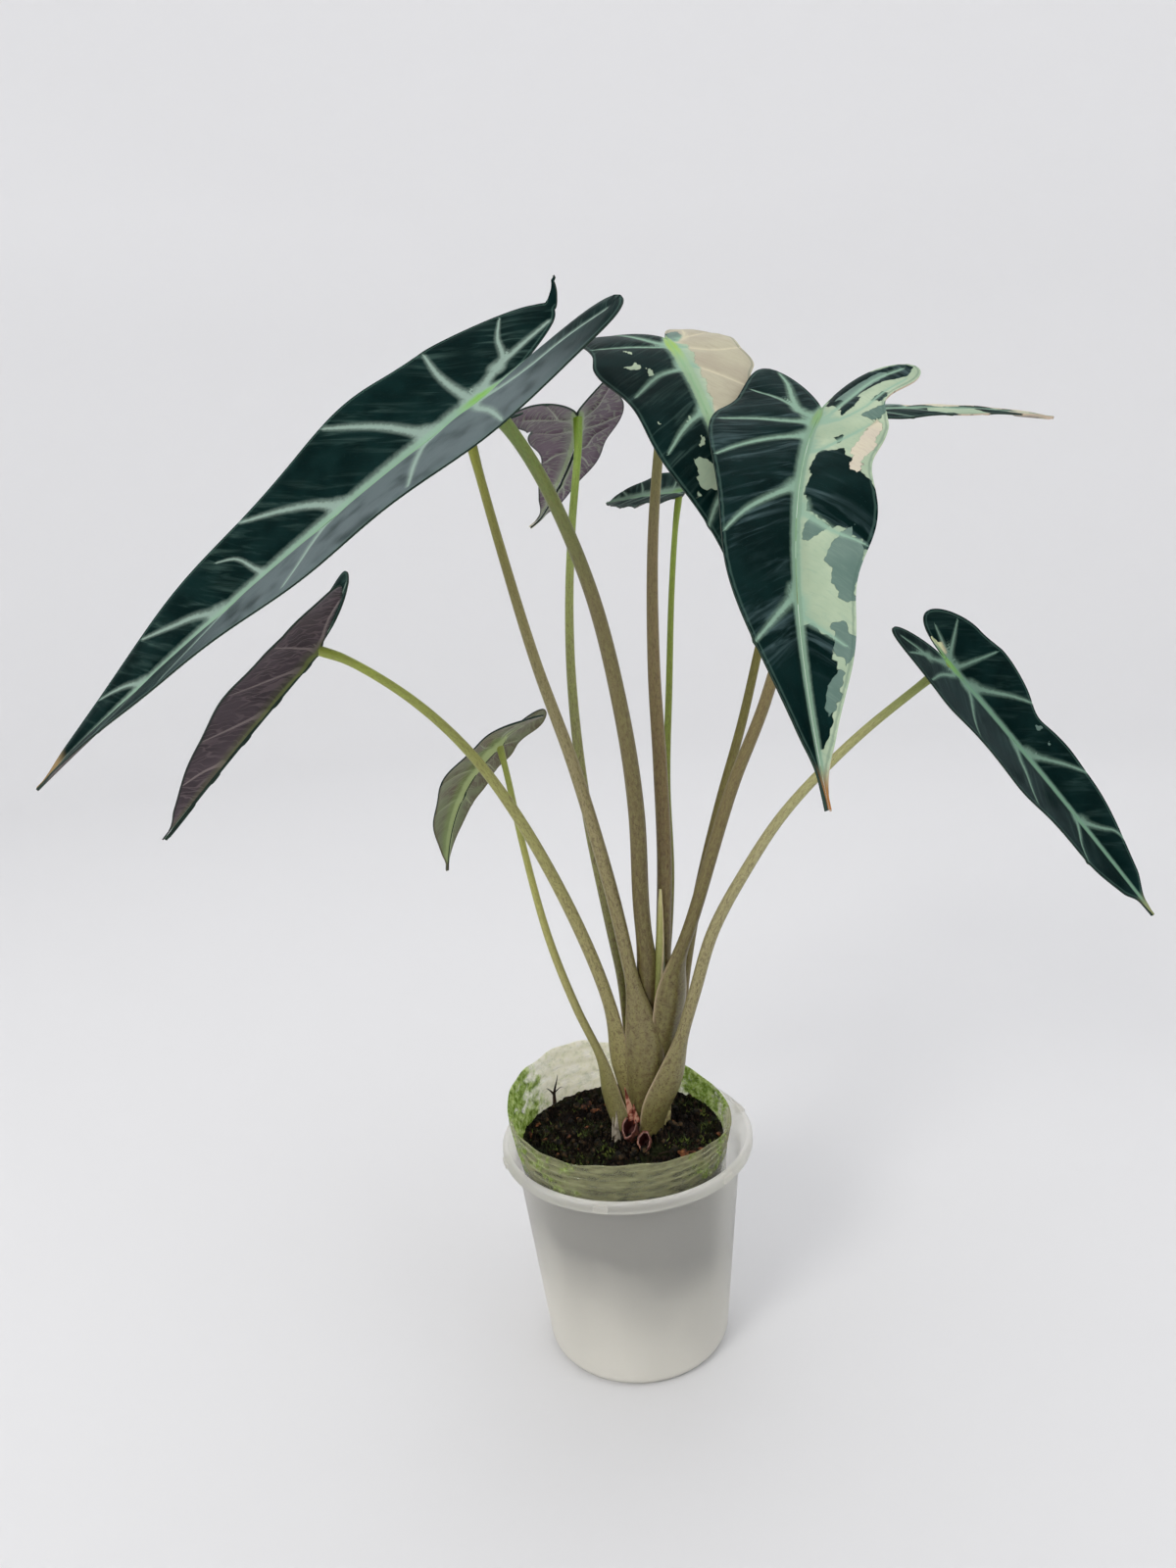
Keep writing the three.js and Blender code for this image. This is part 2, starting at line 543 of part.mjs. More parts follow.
// One stalk with the sheath at its foot, ending at the blade; extra grows it all round
function stalkSolid(leaf, extra) {
  const spine = spineOf(leaf);
  const { point, up } = spineAt(spine, 0);
  const end = point.addScaledVector(up, -bladeThick);
  const start = vec(leaf.route[0]);
  start.z -= extra;
  const route = [start.toArray(), ...leaf.route.slice(1), end.toArray()];
  const bearing = rad(leaf.sheath.faces);
  const across = new THREE.Vector3(-Math.sin(bearing), Math.cos(bearing), 0);
  const low = leaf.route[0][2];
  const steps = Math.round((end.z - low) / 13);
  const { foot, wide, at, reach } = leaf.sheath;
  return toSolid(bentRod(route, stalkSides, steps, across, (share, middle) => {
    const plain = THREE.MathUtils.lerp(leaf.stalk, leaf.neck, THREE.MathUtils.smoothstep(share, 0.3, 1));
    const below = THREE.MathUtils.smoothstep(middle.z, low, at);
    const above = 1 - THREE.MathUtils.smoothstep(middle.z, at, at + reach);
    const half = middle.z < at ? THREE.MathUtils.lerp(foot, wide, below) : plain + (wide - plain) * above;
    const deep = THREE.MathUtils.lerp(plain, Math.max(half * sheathThin, plain), above);
    return [half + extra, deep + extra];
  }));
}

function shootSolid() {
  return toSolid(bentRod(shoot.route, stalkSides, 9, new THREE.Vector3(1, 0, 0), (share) => {
    const size = shoot.radius * (1 - share ** 3) + shoot.tip * share ** 3;
    return [size, size];
  }));
}

function stubRod(from, to, radius, longer) {
  const step = to.clone().sub(from).normalize().multiplyScalar(longer);
  const ends = [from.clone().sub(step).toArray(), to.clone().add(step).toArray()];
  return toSolid(bentRod(ends, 10, 2, new THREE.Vector3(1, 0, 0), () => [radius, radius]));
}

function stubSolid({ from, to, radius }) {
  const mouth = vec(to).lerp(vec(from), 0.2);
  return stubRod(vec(from), vec(to), radius, 0).subtract(stubRod(mouth, vec(to), radius - 1, 0.5));
}

// Colours and finishes
const finishes = {
  frosted: { color: 0xdfe3df, roughness: 0.5, transparent: true, opacity: 0.7 },
  clear: { color: 0xe6ebe4, roughness: 0.12, transparent: true, opacity: 0.4 },
  peat: { color: 0x2a2118, roughness: 0.95 },
  crown: { color: 0xb9b58a, roughness: 0.5 },
  stub: { color: 0x7a3b34, roughness: 0.7 },
  stalk: { color: 0x84774f, roughness: 0.45 },
  shoot: { color: 0x7f8a45, roughness: 0.45 },
  dark: { color: 0x17322c, roughness: 0.5 },
  marbled: { color: 0x6f8a78, roughness: 0.5 },
  olive: { color: 0x5c6a4c, roughness: 0.5 },
};

const plant = new THREE.Group();
function place(name, solid, finish) {
  const material = new THREE.MeshStandardMaterial({ metalness: 0, ...finishes[finish] });
  const mesh = new THREE.Mesh(toGeometry(solid), material);
  mesh.name = name;
  plant.add(mesh);
}

const stemRoom = stemSolid(gap);
const outerStalks = [];
let cleared = stemRoom;
for (const leaf of leaves) {
  const sheet = bladeSheet(leaf);
  place(leaf.name, toSolid(thicken(sheet, 0)), leaf.tone);
  const room = cleared.add(toSolid(thicken(sheet, gap)));
  const stalk = largestBody(stalkSolid(leaf, 0).subtract(room));
  place(leaf.name.replace('leaf', 'stalk'), stalk, 'stalk');
  outerStalks.push(stalkSolid(leaf, gap));
  cleared = cleared.add(stalkSolid(leaf, gap));
}
place('new_shoot', largestBody(shootSolid().subtract(cleared)), 'shoot');

const stubHoles = stubs.map(({ from, to, radius }) => stubRod(vec(from), vec(to), radius + gap, 1));
let stubRoom = cleared;
stubs.forEach((stub, n) => {
  place(stub.name, largestBody(stubSolid(stub).subtract(stubRoom)), 'stub');
  stubRoom = stubRoom.add(stubHoles[n]);
});
place('stem', stemSolid(0), 'crown');
place('soil', largestBody(soilSolid([stemRoom, ...stubHoles, ...outerStalks])), 'peat');
place('inner_pot', potSolid(), 'clear');
place('outer_cup', cupSolid(), 'frosted');

export default plant;
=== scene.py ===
from functools import partial
from math import cos, hypot, pi, radians, sin, tan

import bpy
import numpy as np
from mathutils import Matrix, Vector


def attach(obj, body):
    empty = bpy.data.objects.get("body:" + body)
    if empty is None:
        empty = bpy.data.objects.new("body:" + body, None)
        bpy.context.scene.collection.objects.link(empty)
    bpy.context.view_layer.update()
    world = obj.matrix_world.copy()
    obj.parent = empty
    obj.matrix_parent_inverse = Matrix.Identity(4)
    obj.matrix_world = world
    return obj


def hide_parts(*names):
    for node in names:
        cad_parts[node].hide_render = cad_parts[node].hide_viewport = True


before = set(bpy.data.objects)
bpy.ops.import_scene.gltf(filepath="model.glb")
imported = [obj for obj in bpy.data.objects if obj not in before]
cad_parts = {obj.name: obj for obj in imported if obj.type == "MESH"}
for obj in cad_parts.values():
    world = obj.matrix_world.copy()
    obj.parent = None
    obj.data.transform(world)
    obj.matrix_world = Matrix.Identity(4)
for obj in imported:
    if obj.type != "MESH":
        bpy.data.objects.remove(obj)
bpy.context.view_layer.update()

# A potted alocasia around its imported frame. Lengths are in millimetres and become metres at the end.

mm = 0.001
fine = 1.0  # coarser meshes while trying things
scene = bpy.context.scene


def deselectAll():
    for thing in bpy.context.selected_objects:
        thing.select_set(False)


deselectAll()

# Camera: where the photograph was taken from
shot = {
    "place": (-0.0049, -0.3514, 0.2864), "pitch": 12.63, "roll": -4.15,  # degrees, the pitch downwards
    "lens": 24.79, "film": 36.0, "clip": (0.02, 30.0),
}

lens = bpy.data.cameras.new("camera")
lens.lens, lens.sensor_width, lens.sensor_fit = shot["lens"], shot["film"], "AUTO"
lens.clip_start, lens.clip_end = shot["clip"]
camera = bpy.data.objects.new("camera", lens)
scene.collection.objects.link(camera)
pitch, roll = radians(shot["pitch"]), radians(shot["roll"])
level = Vector((1, 0, 0))
rise = Vector((0, sin(pitch), cos(pitch)))
ahead = Vector((0, cos(pitch), -sin(pitch)))
right = level * cos(roll) + rise * sin(roll)
upright = rise * cos(roll) - level * sin(roll)
facing = Matrix((right, upright, -ahead)).transposed().to_4x4()
camera.matrix_world = Matrix.Translation(shot["place"]) @ facing
scene.camera = camera
scene.view_settings.view_transform = "Standard"
print("camera placed")

# The setting of a node that is given after its kind, as in "Math ADD"
mainSetting = {"Math": "operation", "MapRange": "interpolation_type", "Mix": "data_type",
               "Attribute": "attribute_name", "TexVoronoi": "feature"}


# Small helpers
def hexColour(text):
    parts = [int(text[k:k + 2], 16) / 255 for k in (1, 3, 5)]
    return (*(c / 12.92 if c <= 0.04045 else ((c + 0.055) / 1.055) ** 2.4 for c in parts), 1.0)


def addNode(tree, kind, *values, stops=(), **named):
    # values fill the sockets in order, named values the socket of that name; stops make a colour ramp
    kind, _, setting = kind.partition(" ")
    new = tree.nodes.new("ShaderNode" + kind)
    if setting:
        setattr(new, mainSetting[kind], setting)
    usable = [socket for socket in new.inputs if socket.enabled]
    byName = {socket.name.replace(" ", "_"): socket for socket in reversed(usable)}
    for socket, value in [*zip(usable, values), *((byName[name], value) for name, value in named.items())]:
        if isinstance(value, bpy.types.Node):
            value = value.outputs.get("Fac") or next(s for s in value.outputs if s.enabled)
        if isinstance(value, bpy.types.NodeSocket):
            tree.links.new(value, socket)
        else:
            socket.default_value = hexColour(value) if isinstance(value, str) else value
    ramp = new.color_ramp.elements if stops else ()
    while len(ramp) < len(stops):
        ramp.new(0.5)
    for element, (position, colour) in zip(ramp, stops):
        element.position, element.color = position, hexColour(colour)
    return new


def newMaterial(name):
    material = bpy.data.materials.new(name)
    material.use_nodes = True
    material.node_tree.nodes.clear()
    return material, partial(addNode, material.node_tree)


def maskOf(add, amount, *steps):
    # an amount, less wherever one of the smooth steps (value, from, to) is low
    for value, low, high in steps:
        amount = add("Math MULTIPLY", add("MapRange SMOOTHSTEP", value, low, high), amount)
    return amount


def paint(add, base, *layers):
    # colours laid over base, each with its own mask
    for tone, *mask in layers:
        base = add("Mix RGBA", maskOf(add, *mask), base, tone)
    return base


def unit(v):
    return v / np.maximum(np.linalg.norm(v, axis=-1, keepdims=True), 1e-12)


def smoothStep(x, low, high):
    t = np.clip((x - low) / (high - low), 0, 1)
    return t * t * (3 - 2 * t)


def bell(x, spread):
    return np.exp(-(x / spread) ** 2)


def turnAbout(v, axis, angle):
    axis = np.broadcast_to(axis, v.shape)
    angle = np.asarray(angle)[..., None]
    along = (v * axis).sum(-1, keepdims=True)
    return v * np.cos(angle) + np.cross(axis, v) * np.sin(angle) + axis * along * (1 - np.cos(angle))


# Places are read and written in millimetres
def readPlaces(piece):
    places = np.empty(len(piece.data.vertices) * 3)
    piece.data.vertices.foreach_get("co", places)
    return places.reshape(-1, 3) / mm


def writePlaces(piece, places):
    piece.data.vertices.foreach_set("co", np.ascontiguousarray(places * mm).ravel())
    piece.data.update()


def writeValues(piece, **fields):
    for name, values in fields.items():
        attribute = piece.data.attributes.new(name, "FLOAT", "POINT")
        attribute.data.foreach_set("value", np.asarray(values, np.float32))


def readValues(piece, name):
    values = np.empty(len(piece.data.vertices), np.float32)
    piece.data.attributes[name].data.foreach_get("value", values)
    return values


def namedPiece(name):
    # the primitive that was just added
    piece = bpy.context.object
    piece.name = piece.data.name = name
    return piece


def applyModifier(piece, kind, **settings):
    modifier = piece.modifiers.new(kind.lower(), kind)
    for key, value in settings.items():
        setattr(modifier, key, value)
    bpy.context.view_layer.objects.active = piece
    bpy.ops.object.modifier_apply(modifier=modifier.name)


def editMesh(piece, *steps):
    deselectAll()
    bpy.context.view_layer.objects.active = piece
    piece.select_set(True)
    bpy.ops.object.mode_set(mode="EDIT")
    bpy.ops.mesh.select_all(action="SELECT")
    for step in steps:
        step()
    bpy.ops.object.mode_set(mode="OBJECT")
    deselectAll()


def selectWhere(kind, wanted):
    # in edit mode: selects the faces or edges for which wanted is true
    piece = bpy.context.object
    bpy.ops.mesh.select_all(action="DESELECT")
    bpy.ops.object.mode_set(mode="OBJECT")
    for part in getattr(piece.data, kind):
        part.select = wanted(part, [piece.data.vertices[k].co for k in part.vertices])
    bpy.ops.object.mode_set(mode="EDIT")


def cleanNormals(piece):
    editMesh(piece, lambda: bpy.ops.mesh.remove_doubles(threshold=1e-6),
             lambda: bpy.ops.mesh.normals_make_consistent(inside=False))


def settle(piece):
    # the place and turn go into the mesh
    piece.select_set(True)
    bpy.ops.object.transform_apply(location=True, rotation=True, scale=True)


def joinPieces(pieces, name):
    deselectAll()
    for piece in pieces:
        piece.select_set(True)
    bpy.context.view_layer.objects.active = pieces[0]
    bpy.ops.object.join()
    pieces[0].name = pieces[0].data.name = name
    deselectAll()
    return pieces[0]


def finishPiece(piece, nodes, materials=(), angle=40):
    for material in materials:
        piece.data.materials.append(material)
    deselectAll()
    bpy.context.view_layer.objects.active = piece
    piece.select_set(True)
    bpy.ops.object.shade_smooth_by_angle(angle=radians(angle))
    deselectAll()
    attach(piece, "root")
    if nodes:
        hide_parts(*nodes)


def smoothRoute(points, steps):
    # centripetal Catmull-Rom through the points, evenly spaced along its length
    p = np.array(points, float)
    p = np.vstack([2 * p[0] - p[1], p, 2 * p[-1] - p[-2]])
    dense = []
    for k in range(1, len(p) - 2):
        a, b, c, d = p[k - 1:k + 3]
        ta, tb, tc = (np.sqrt(np.linalg.norm(e)) for e in (b - a, c - b, d - c))
        m1 = ((b - a) / ta - (c - a) / (ta + tb) + (c - b) / tb) * tb
        m2 = ((c - b) / tb - (d - b) / (tb + tc) + (d - c) / tc) * tb
        t = np.linspace(0, 1, 40, endpoint=k == len(p) - 3)[:, None]
        cubic, square = 2 * b - 2 * c + m1 + m2, -3 * b + 3 * c - 2 * m1 - m2
        dense.append(cubic * t ** 3 + square * t ** 2 + m1 * t + b)
    dense = np.vstack(dense)
    reach = routeReach(dense)
    wanted = np.linspace(0, reach[-1], steps)
    return np.stack([np.interp(wanted, reach, dense[:, k]) for k in range(p.shape[1])], 1)


def routeReach(path):
    return np.concatenate([[0], np.cumsum(np.linalg.norm(np.diff(path, axis=0), axis=1))])


# Floor, backdrop and light, in metres
studio = {
    "floor": "#e0e0e1", "wall": "#efeff0", "radius": 1.9, "height": 2.6, "curve": 0.7,
    "sky": ("#f9f9fa", 1.12), "aim": (0, 0, 0.17),
    "lamps": [  # place, size, watts, colour
        ((-0.85, -1.05, 1.15), 0.55, 8.5, "#fffdf9"),
        ((1.1, -0.75, 0.9), 1.2, 2.2, "#f4f9ff"),
        ((0.2, 0.9, 1.5), 1.3, 2.5, "#fafcff"),
    ],
}


def paperSkin():
    # Matt studio paper: plain and slightly cool
    material, add = newMaterial("matt_studio_paper")
    height = add("SeparateXYZ", add("TexCoord").outputs["Object"]).outputs[2]
    tone = add("Mix RGBA", add("MapRange", height, 0.05, 0.9), studio["floor"], studio["wall"])
    add("OutputMaterial", add("BsdfPrincipled", tone, Roughness=0.9, Specular_IOR_Level=0.1))
    return material


def buildStudio():
    half = studio["height"] / 2
    bpy.ops.mesh.primitive_cylinder_add(vertices=128, radius=studio["radius"], depth=studio["height"],
                                        location=(0, 0, half), end_fill_type="NGON")
    cove = namedPiece("studio_cove")
    editMesh(cove,
             lambda: selectWhere("polygons", lambda face, corners: face.center.z > half - 0.01),
             lambda: bpy.ops.mesh.delete(type="FACE"),
             lambda: selectWhere("edges", lambda edge, ends: max(end.z for end in ends) < -half + 0.01),
             lambda: bpy.ops.mesh.bevel(offset=studio["curve"], segments=20))
    settle(cove)
    bpy.ops.object.shade_smooth()
    cove.data.materials.append(paperSkin())
    world = bpy.data.worlds.new("studio_light")
    scene.world = world
    world.use_nodes = True
    sky = world.node_tree.nodes["Background"]
    sky.inputs[0].default_value, sky.inputs[1].default_value = hexColour(studio["sky"][0]), studio["sky"][1]
    for n, (place, size, power, colour) in enumerate(studio["lamps"]):
        lamp = bpy.data.lights.new(f"soft_box_{n + 1}", "AREA")
        lamp.shape, lamp.size, lamp.energy, lamp.color = "DISK", size, power, hexColour(colour)[:3]
        holder = bpy.data.objects.new(lamp.name, lamp)
        scene.collection.objects.link(holder)
        holder.location = place
        holder.rotation_euler = (Vector(studio["aim"]) - Vector(place)).to_track_quat("-Z", "Y").to_euler()
        holder.visible_camera = False


buildStudio()
print("studio built")


# Leaves, outermost stalk first. Pairs are [left, right], seen from the stalk towards the tip with the
# face up. junction, tip: ends of the midrib. face: where the upper side looks; roll: turn about the
# line to the tip; twist: further turn on the way there; bow, sweep: arch of the midrib above that line
# and to its side. half: greatest width of each half. fold, curl: rise of each half and its change
# towards the margin; open: how the fold grows towards the tip. lobe: length of the basal lobes; lift,
# splay: how they rise and spread; lobeRound: how blunt they end; sinus: how far the blade runs on
# behind the stalk. taper: powers of the front outline. scallop, bumps, shift: the margin's swells;
# ripple: its height. route: middle of the stalk. sheath: greatest half width, height, reach
# above that, bearing of its back. stalk, neck: radii. veins: for each half, half width at the start and
# the way of each side vein as (along the midrib, across it). drip: where the drawn-out tip begins, and
# how much narrower it is. ribScale: width of the pale midrib. dents: half, place, spread and depth of a
# waist. bends: halves, from, to, rise and shift of a bent end. hook: half, length and radius of the
# thread that ends a lobe. patches: half, colour and outline of a marbled patch.
leaves = [
    {
        "name": "leaf_low_left", "junction": (-36, 30, 218.5), "tip": (-62, 50.5, 166.5),
        "face": (-0.6, 0.6, 0.6), "roll": -14, "twist": 17, "bow": 5, "sweep": 2.3, "half": (15.7, 13.9),
        "fold": (9, 9), "curl": (-13, -43), "open": (0.3, 0.35), "lobe": (23.5, 17.8), "lift": (-14, 3),
        "splay": (-1.8, 3.7), "lobeRound": (2.1, 2.3), "sinus": 5, "taper": (2.05, 1.22),
        "scallop": (0.07, 0.02), "bumps": (2.7, 3.1), "shift": (-0.34, -0.11), "ripple": 0.5,
        "sheath": {"wide": 4.2, "at": 91, "reach": 22, "faces": 235}, "stalk": 1.5,
        "neck": 1.1,
        "route": (
            (-4, 0.8, 91), (-7, 2.6, 106), (-15, 6, 126), (-23, 11.3, 151), (-30, 20, 185),
            (-33.5, 26.5, 207),
        ),
        "veins": (
            (
                (0.5, (-1, 0), (-6, 4), (-17, 7)),
                (0.5, (1, 0), (2, 6), (-1, 13)),
                (0.5, (14.5, 0), (16.4, 8), (20, 14.5)),
                (0.5, (29, 0), (31, 4), (35, 9)),
            ),
            (
                (0.5, (-1, 0), (-6, 4), (-15, 8)),
                (0.5, (1, 0), (2, 5), (-1, 11)),
                (0.5, (13, 0), (13.7, 6.6), (17, 12)),
                (0.5, (28, 0), (31, 4), (35, 8)),
            ),
        ),
    },
    {
        "name": "leaf_right", "junction": (105.5, -30, 243.2), "tip": (169.3, -32.6, 159.9),
        "face": (0.5, -0.4, 0.8), "roll": 29.7, "twist": -1, "bow": 0.8, "sweep": 0, "half": (16.6, 18.1),
        "fold": (9, 1), "curl": (1, 37), "open": (0.13, 0.19), "lobe": (16.1, 21.1), "lift": (2, 0.7),
        "splay": (-2.7, 2.1), "lobeRound": (1.66, 1.68), "sinus": 2.5, "taper": (2.02, 0.77),
        "scallop": (0.1, 0.09), "bumps": (1.74, 2.69), "shift": (-0.05, 0.72), "ripple": 0.5,
        "sheath": {"wide": 6.2, "at": 98, "reach": 26, "faces": -66}, "stalk": 2.1, "neck": 1.3,
        "ribScale": 0.4, "dents": ((0, 0.33, 0.055, 0.14), (0, 0.47, 0.06, -0.05)), "drip": (0.925, 0.62),
        "route": (
            (15, -6, 100), (20, -7.7, 115), (26, -10.3, 135), (33, -13.7, 158),
            (44, -17, 179), (57, -20.7, 199), (78, -24.7, 221), (97, -27.8, 236.5),
        ),
        "veins": (
            (
                (0.7, (0, 0), (-5.4, 2.7), (-11, 4.6)),
                (0.7, (0, 0), (-2.5, 3.5), (-4.1, 6.5), (-7, 11.5)),
                (0.75, (1, 0), (3, 1.6), (6, 7.6), (9.5, 15.3)),
                (0.8, (10.5, 0), (18, 5.4), (24, 10), (33, 15.5)),
                (0.75, (39.5, 0), (46.8, 5.2), (52.9, 9.4), (60, 13.4)),
                (0.6, (67.5, 0), (74, 4.4), (78.5, 7.9), (85, 8.8)),
            ),
            (
                (0.7, (0, 0), (-6.5, 5.3), (-11.4, 7), (-17.5, 10)),
                (0.5, (-6.5, 5.3), (-7.6, 5.9), (-11.4, 10.8), (-13, 14)),
                (0.7, (2, 0), (3.8, 1.4), (0, 6.2), (-2.5, 14)),
                (0.7, (8.5, 0), (11.3, 1.3), (14.3, 4.2), (21, 14)),
                (0.7, (34, 0), (38.5, 3.6), (43, 6), (50, 12.5)),
                (0.6, (65, 0), (68.7, 4), (71, 7.6), (75, 11.5)),
            ),
        ),
        "patches": (
            (0, "cream", ((-9.5, 0), (-9.6, 1.5), (-6, 2.3), (-3, 1.5), (-3, 0))),
            (0, "grey", ((36.2, 8.8), (37.6, 9), (37.8, 10.3), (36.3, 10.2))),
            (0, "grey", ((42.2, 7.6), (43.8, 7.7), (43.9, 9), (42.4, 9))),
            (0, "grey", ((41.8, 2.2), (42.8, 2.3), (42.7, 3.2), (41.7, 3))),
        ),
    },
    {
        "name": "leaf_left", "junction": (-88, -5, 259.2), "tip": (-149.4, 3.6, 198.5),
        "face": (-0.8, 0.25, 0.6), "roll": -14.3, "twist": 16, "bow": 0.3, "sweep": 1.1,
        "half": (18, 17.5), "fold": (41, 30), "curl": (-25, 8), "open": (0.7, 0.2), "lobe": (23.4, 23.6),
        "lift": (-6, 8), "splay": (7, 2), "lobeRound": (1.4, 2.2), "sinus": 2.2, "taper": (1.9, 1.1),
        "scallop": (0.03, 0.03), "bumps": (2.95, 3), "shift": (-0.05, 0), "ripple": 0.4,
        "sheath": {"wide": 5, "at": 102, "reach": 32, "faces": 232}, "stalk": 2.2,
        "neck": 1.4, "drip": (0.93, 0.6), "bends": (((0, 1), 84, 94, -1.5, 2.5),),
        "route": (
            (3, 0, 90), (0, -0.8, 106), (-3, -1.3, 129), (-13, -2.2, 162), (-29.5, -3.2, 200),
            (-43.5, -3.9, 223), (-60, -4.4, 241), (-79, -4.9, 255),
        ),
        "veins": (
            (
                (0.6, (-1, 0), (-4.1, 1.7), (-10.9, 5.8), (-23.5, 12)),
                (0.6, (0, 0), (2.5, 7.4), (5, 16.5)),
                (0.6, (8.5, 0), (18.7, 7.6), (28, 14.5)),
                (0.6, (29, 0), (37.5, 4.4), (50, 11.5)),
                (0.5, (52, 0), (59, 3.6), (68, 6.5)),
            ),
            None,
        ),
    },
    {
        "name": "leaf_behind_front", "junction": (-34, 0, 323), "tip": (-104, 57.5, 300),
        "face": (-0.2, 0.2, 1), "roll": 0, "twist": 6, "bow": 5, "sweep": 0, "half": (15, 15),
        "fold": (14, 14), "curl": (8, 8), "open": (0.2, 0.2), "lobe": (17, 17), "lift": (2, 2),
        "splay": (1, -1), "lobeRound": (2.2, 2.2), "sinus": 5, "taper": (1.9, 1), "scallop": (0.04, 0.05),
        "bumps": (3, 3), "shift": (0, 0.3), "ripple": 0.8,
        "sheath": {"wide": 6.8, "at": 112, "reach": 30, "faces": -94}, "stalk": 2.4,
        "neck": 1.4,
        "route": (
            (7, -2.5, 92), (7.5, -3.6, 102), (8, -3.8, 116), (4, -3.3, 148), (-0.5, -3, 175),
            (-9, -2.6, 214), (-19, -2, 250), (-27.5, -1, 288), (-33, -0.2, 316),
        ),
    },
    {
        "name": "leaf_front_right", "junction": (60, -65, 313), "tip": (41, -151, 233),
        "face": (0.1, -0.5, 0.85), "roll": 22, "twist": -33, "bow": 8.3, "sweep": -4.4,
        "half": (18.4, 22.9), "fold": (22, 22), "curl": (-38, 1), "open": (0.15, 0.26),
        "lobe": (23.5, 22.4), "lift": (4.4, -2.3), "splay": (11.9, 6.4), "lobeRound": (2.9, 1.6),
        "sinus": 5, "taper": (2.83, 1.17), "scallop": (0.08, -0.08), "bumps": (2.95, 1.81),
        "shift": (0, 0.5), "ripple": 0.8,
        "sheath": {"wide": 6.6, "at": 130, "reach": 24, "faces": -62}, "stalk": 2.2,
        "neck": 1.5, "ribScale": 0.62,
        "route": (
            (12, 0.8, 95), (14.5, -0.6, 108), (17.5, -2.6, 126), (20, -5, 141), (27, -9.3, 162),
            (40, -22, 208), (50, -32, 237), (58, -47, 275), (60, -60, 302),
        ),
        "veins": (
            (
                (1.1, (2, 0), (4.3, 2.3), (-2.4, 7.2), (-12.7, 11.9), (-21, 18.4)),
                (0.7, (6, 3), (8.6, 6.2), (4.3, 12.3), (-7.8, 16.9), (-16, 20)),
                (1, (18, 0), (22.3, 3.2), (20.5, 6.9), (17, 11), (11, 16)),
                (1, (44, 0), (47, 1.9), (51.4, 5.5), (54.8, 8.7), (58, 15)),
                (0.8, (74, 0), (77.9, 1.3), (81.3, 4), (86, 8.5)),
            ),
            (
                (1.1, (1.4, 0), (-0.6, 5), (-16, 11.8), (-21, 15)),
                (0.6, (-0.6, 5), (-4.6, 11), (-6.3, 19)),
                (0.9, (4, 0), (7.7, 7.5), (11, 14.5), (17, 22.2)),
                (0.8, (11.5, 0), (18.8, 8.7), (26.5, 15), (35, 20.5)),
                (0.8, (35, 0), (43.7, 7), (51.4, 12.6), (60, 17.5)),
                (0.8, (71, 0), (80.5, 6.7), (88, 12.5)),
            ),
        ),
        "patches": (
            (0, "mint", ((-40, 0), (130, 0), (130, 40), (-40, 40))),
            (0, "dark", ((23.1, 3.1), (24, 9.3), (29.1, 11.8), (33, 13), (36.5, 15.4), (40.2, 17.6),
                (44, 22), (55, 23), (62, 19), (58.5, 15), (55.6, 12.9), (53.1, 12.1), (53.9, 8.8),
                (51.4, 6.8), (46.2, 2.8), (41.1, 1.8), (33.4, 2.5))),
            (0, "dark", ((-4.8, 0.9), (-13.3, 5.3), (-18.7, 10.8), (-21.7, 15.2), (-22.9, 18.3),
                (-22.3, 20.5), (-18.7, 21.1), (-14.5, 18.1), (-12.1, 15.3), (-4.2, 10.2), (0.9, 5.8))),
            (0, "grey", ((-4, 4), (-12, 9), (-18, 13.5), (-17, 15.5), (-10, 11.6), (-3, 7.4))),
            (0, "dark", ((3.4, 6.3), (-3.6, 8.7), (-3.6, 10.5), (2.6, 10.3), (6.8, 7.5))),
            (0, "dark", ((0.9, 13.8), (-6.6, 16.0), (-4.8, 17.3), (1.7, 16.0))),
            (0, "dark", ((18.0, 6.7), (17.1, 8.6), (20.5, 9.2), (21.4, 7.8))),
            (0, "grey", ((7.7, 12.7), (2.6, 17.4), (-6.6, 18.8), (5.1, 17.9), (9.4, 17.3), (11.1, 14.2))),
            (0, "grey", ((58.2, 7.4), (54.8, 9.6), (52.2, 12.6), (56.5, 12.7), (59.1, 15.3),
                (65.1, 13.8), (70.2, 12.6), (75.3, 11.6), (74.5, 8.0), (71.0, 8.0), (63.3, 6.6))),
            (0, "grey", ((50.5, 1.8), (47.9, 3.2), (53.1, 7.6), (54.8, 5.2), (56.5, 2.1))),
            (0, "dark", ((79.6, 0), (80.5, 3), (82.2, 4.8), (85.6, 6.4), (91.6, 6), (95.9, 4.3),
                (98.4, 3.2), (101, 3.8), (105.3, 2.4), (108, 1.2), (108, 0))),
            (0, "grey", ((80.5, 6.2), (81.3, 9.4), (84.7, 11.0), (89.0, 10.1), (91.6, 8.1), (87.3, 6.7))),
            (0, "grey", ((92.4, 6.0), (92.4, 8.3), (97.6, 6.0), (101.0, 3.4), (95.9, 3.4))),
            (0, "cream", ((18.0, 12.8), (11.1, 16.1), (9.4, 17.3), (17.1, 17.3), (30.8, 14.4),
                (35.1, 12.8), (31.7, 11.4), (24.8, 11.9))),
        ),
    },
    {
        "name": "leaf_front", "junction": (-25.6, -55, 324.6), "tip": (-171.3, -30.6, 225.6),
        "face": (-0.35, -0.55, 0.8), "roll": -9.7, "twist": 2.4, "bow": 10.2, "sweep": 11.7,
        "half": (30.7, 30.2), "fold": (20, 6), "curl": (-6.6, 8), "open": (0.31, 0.39),
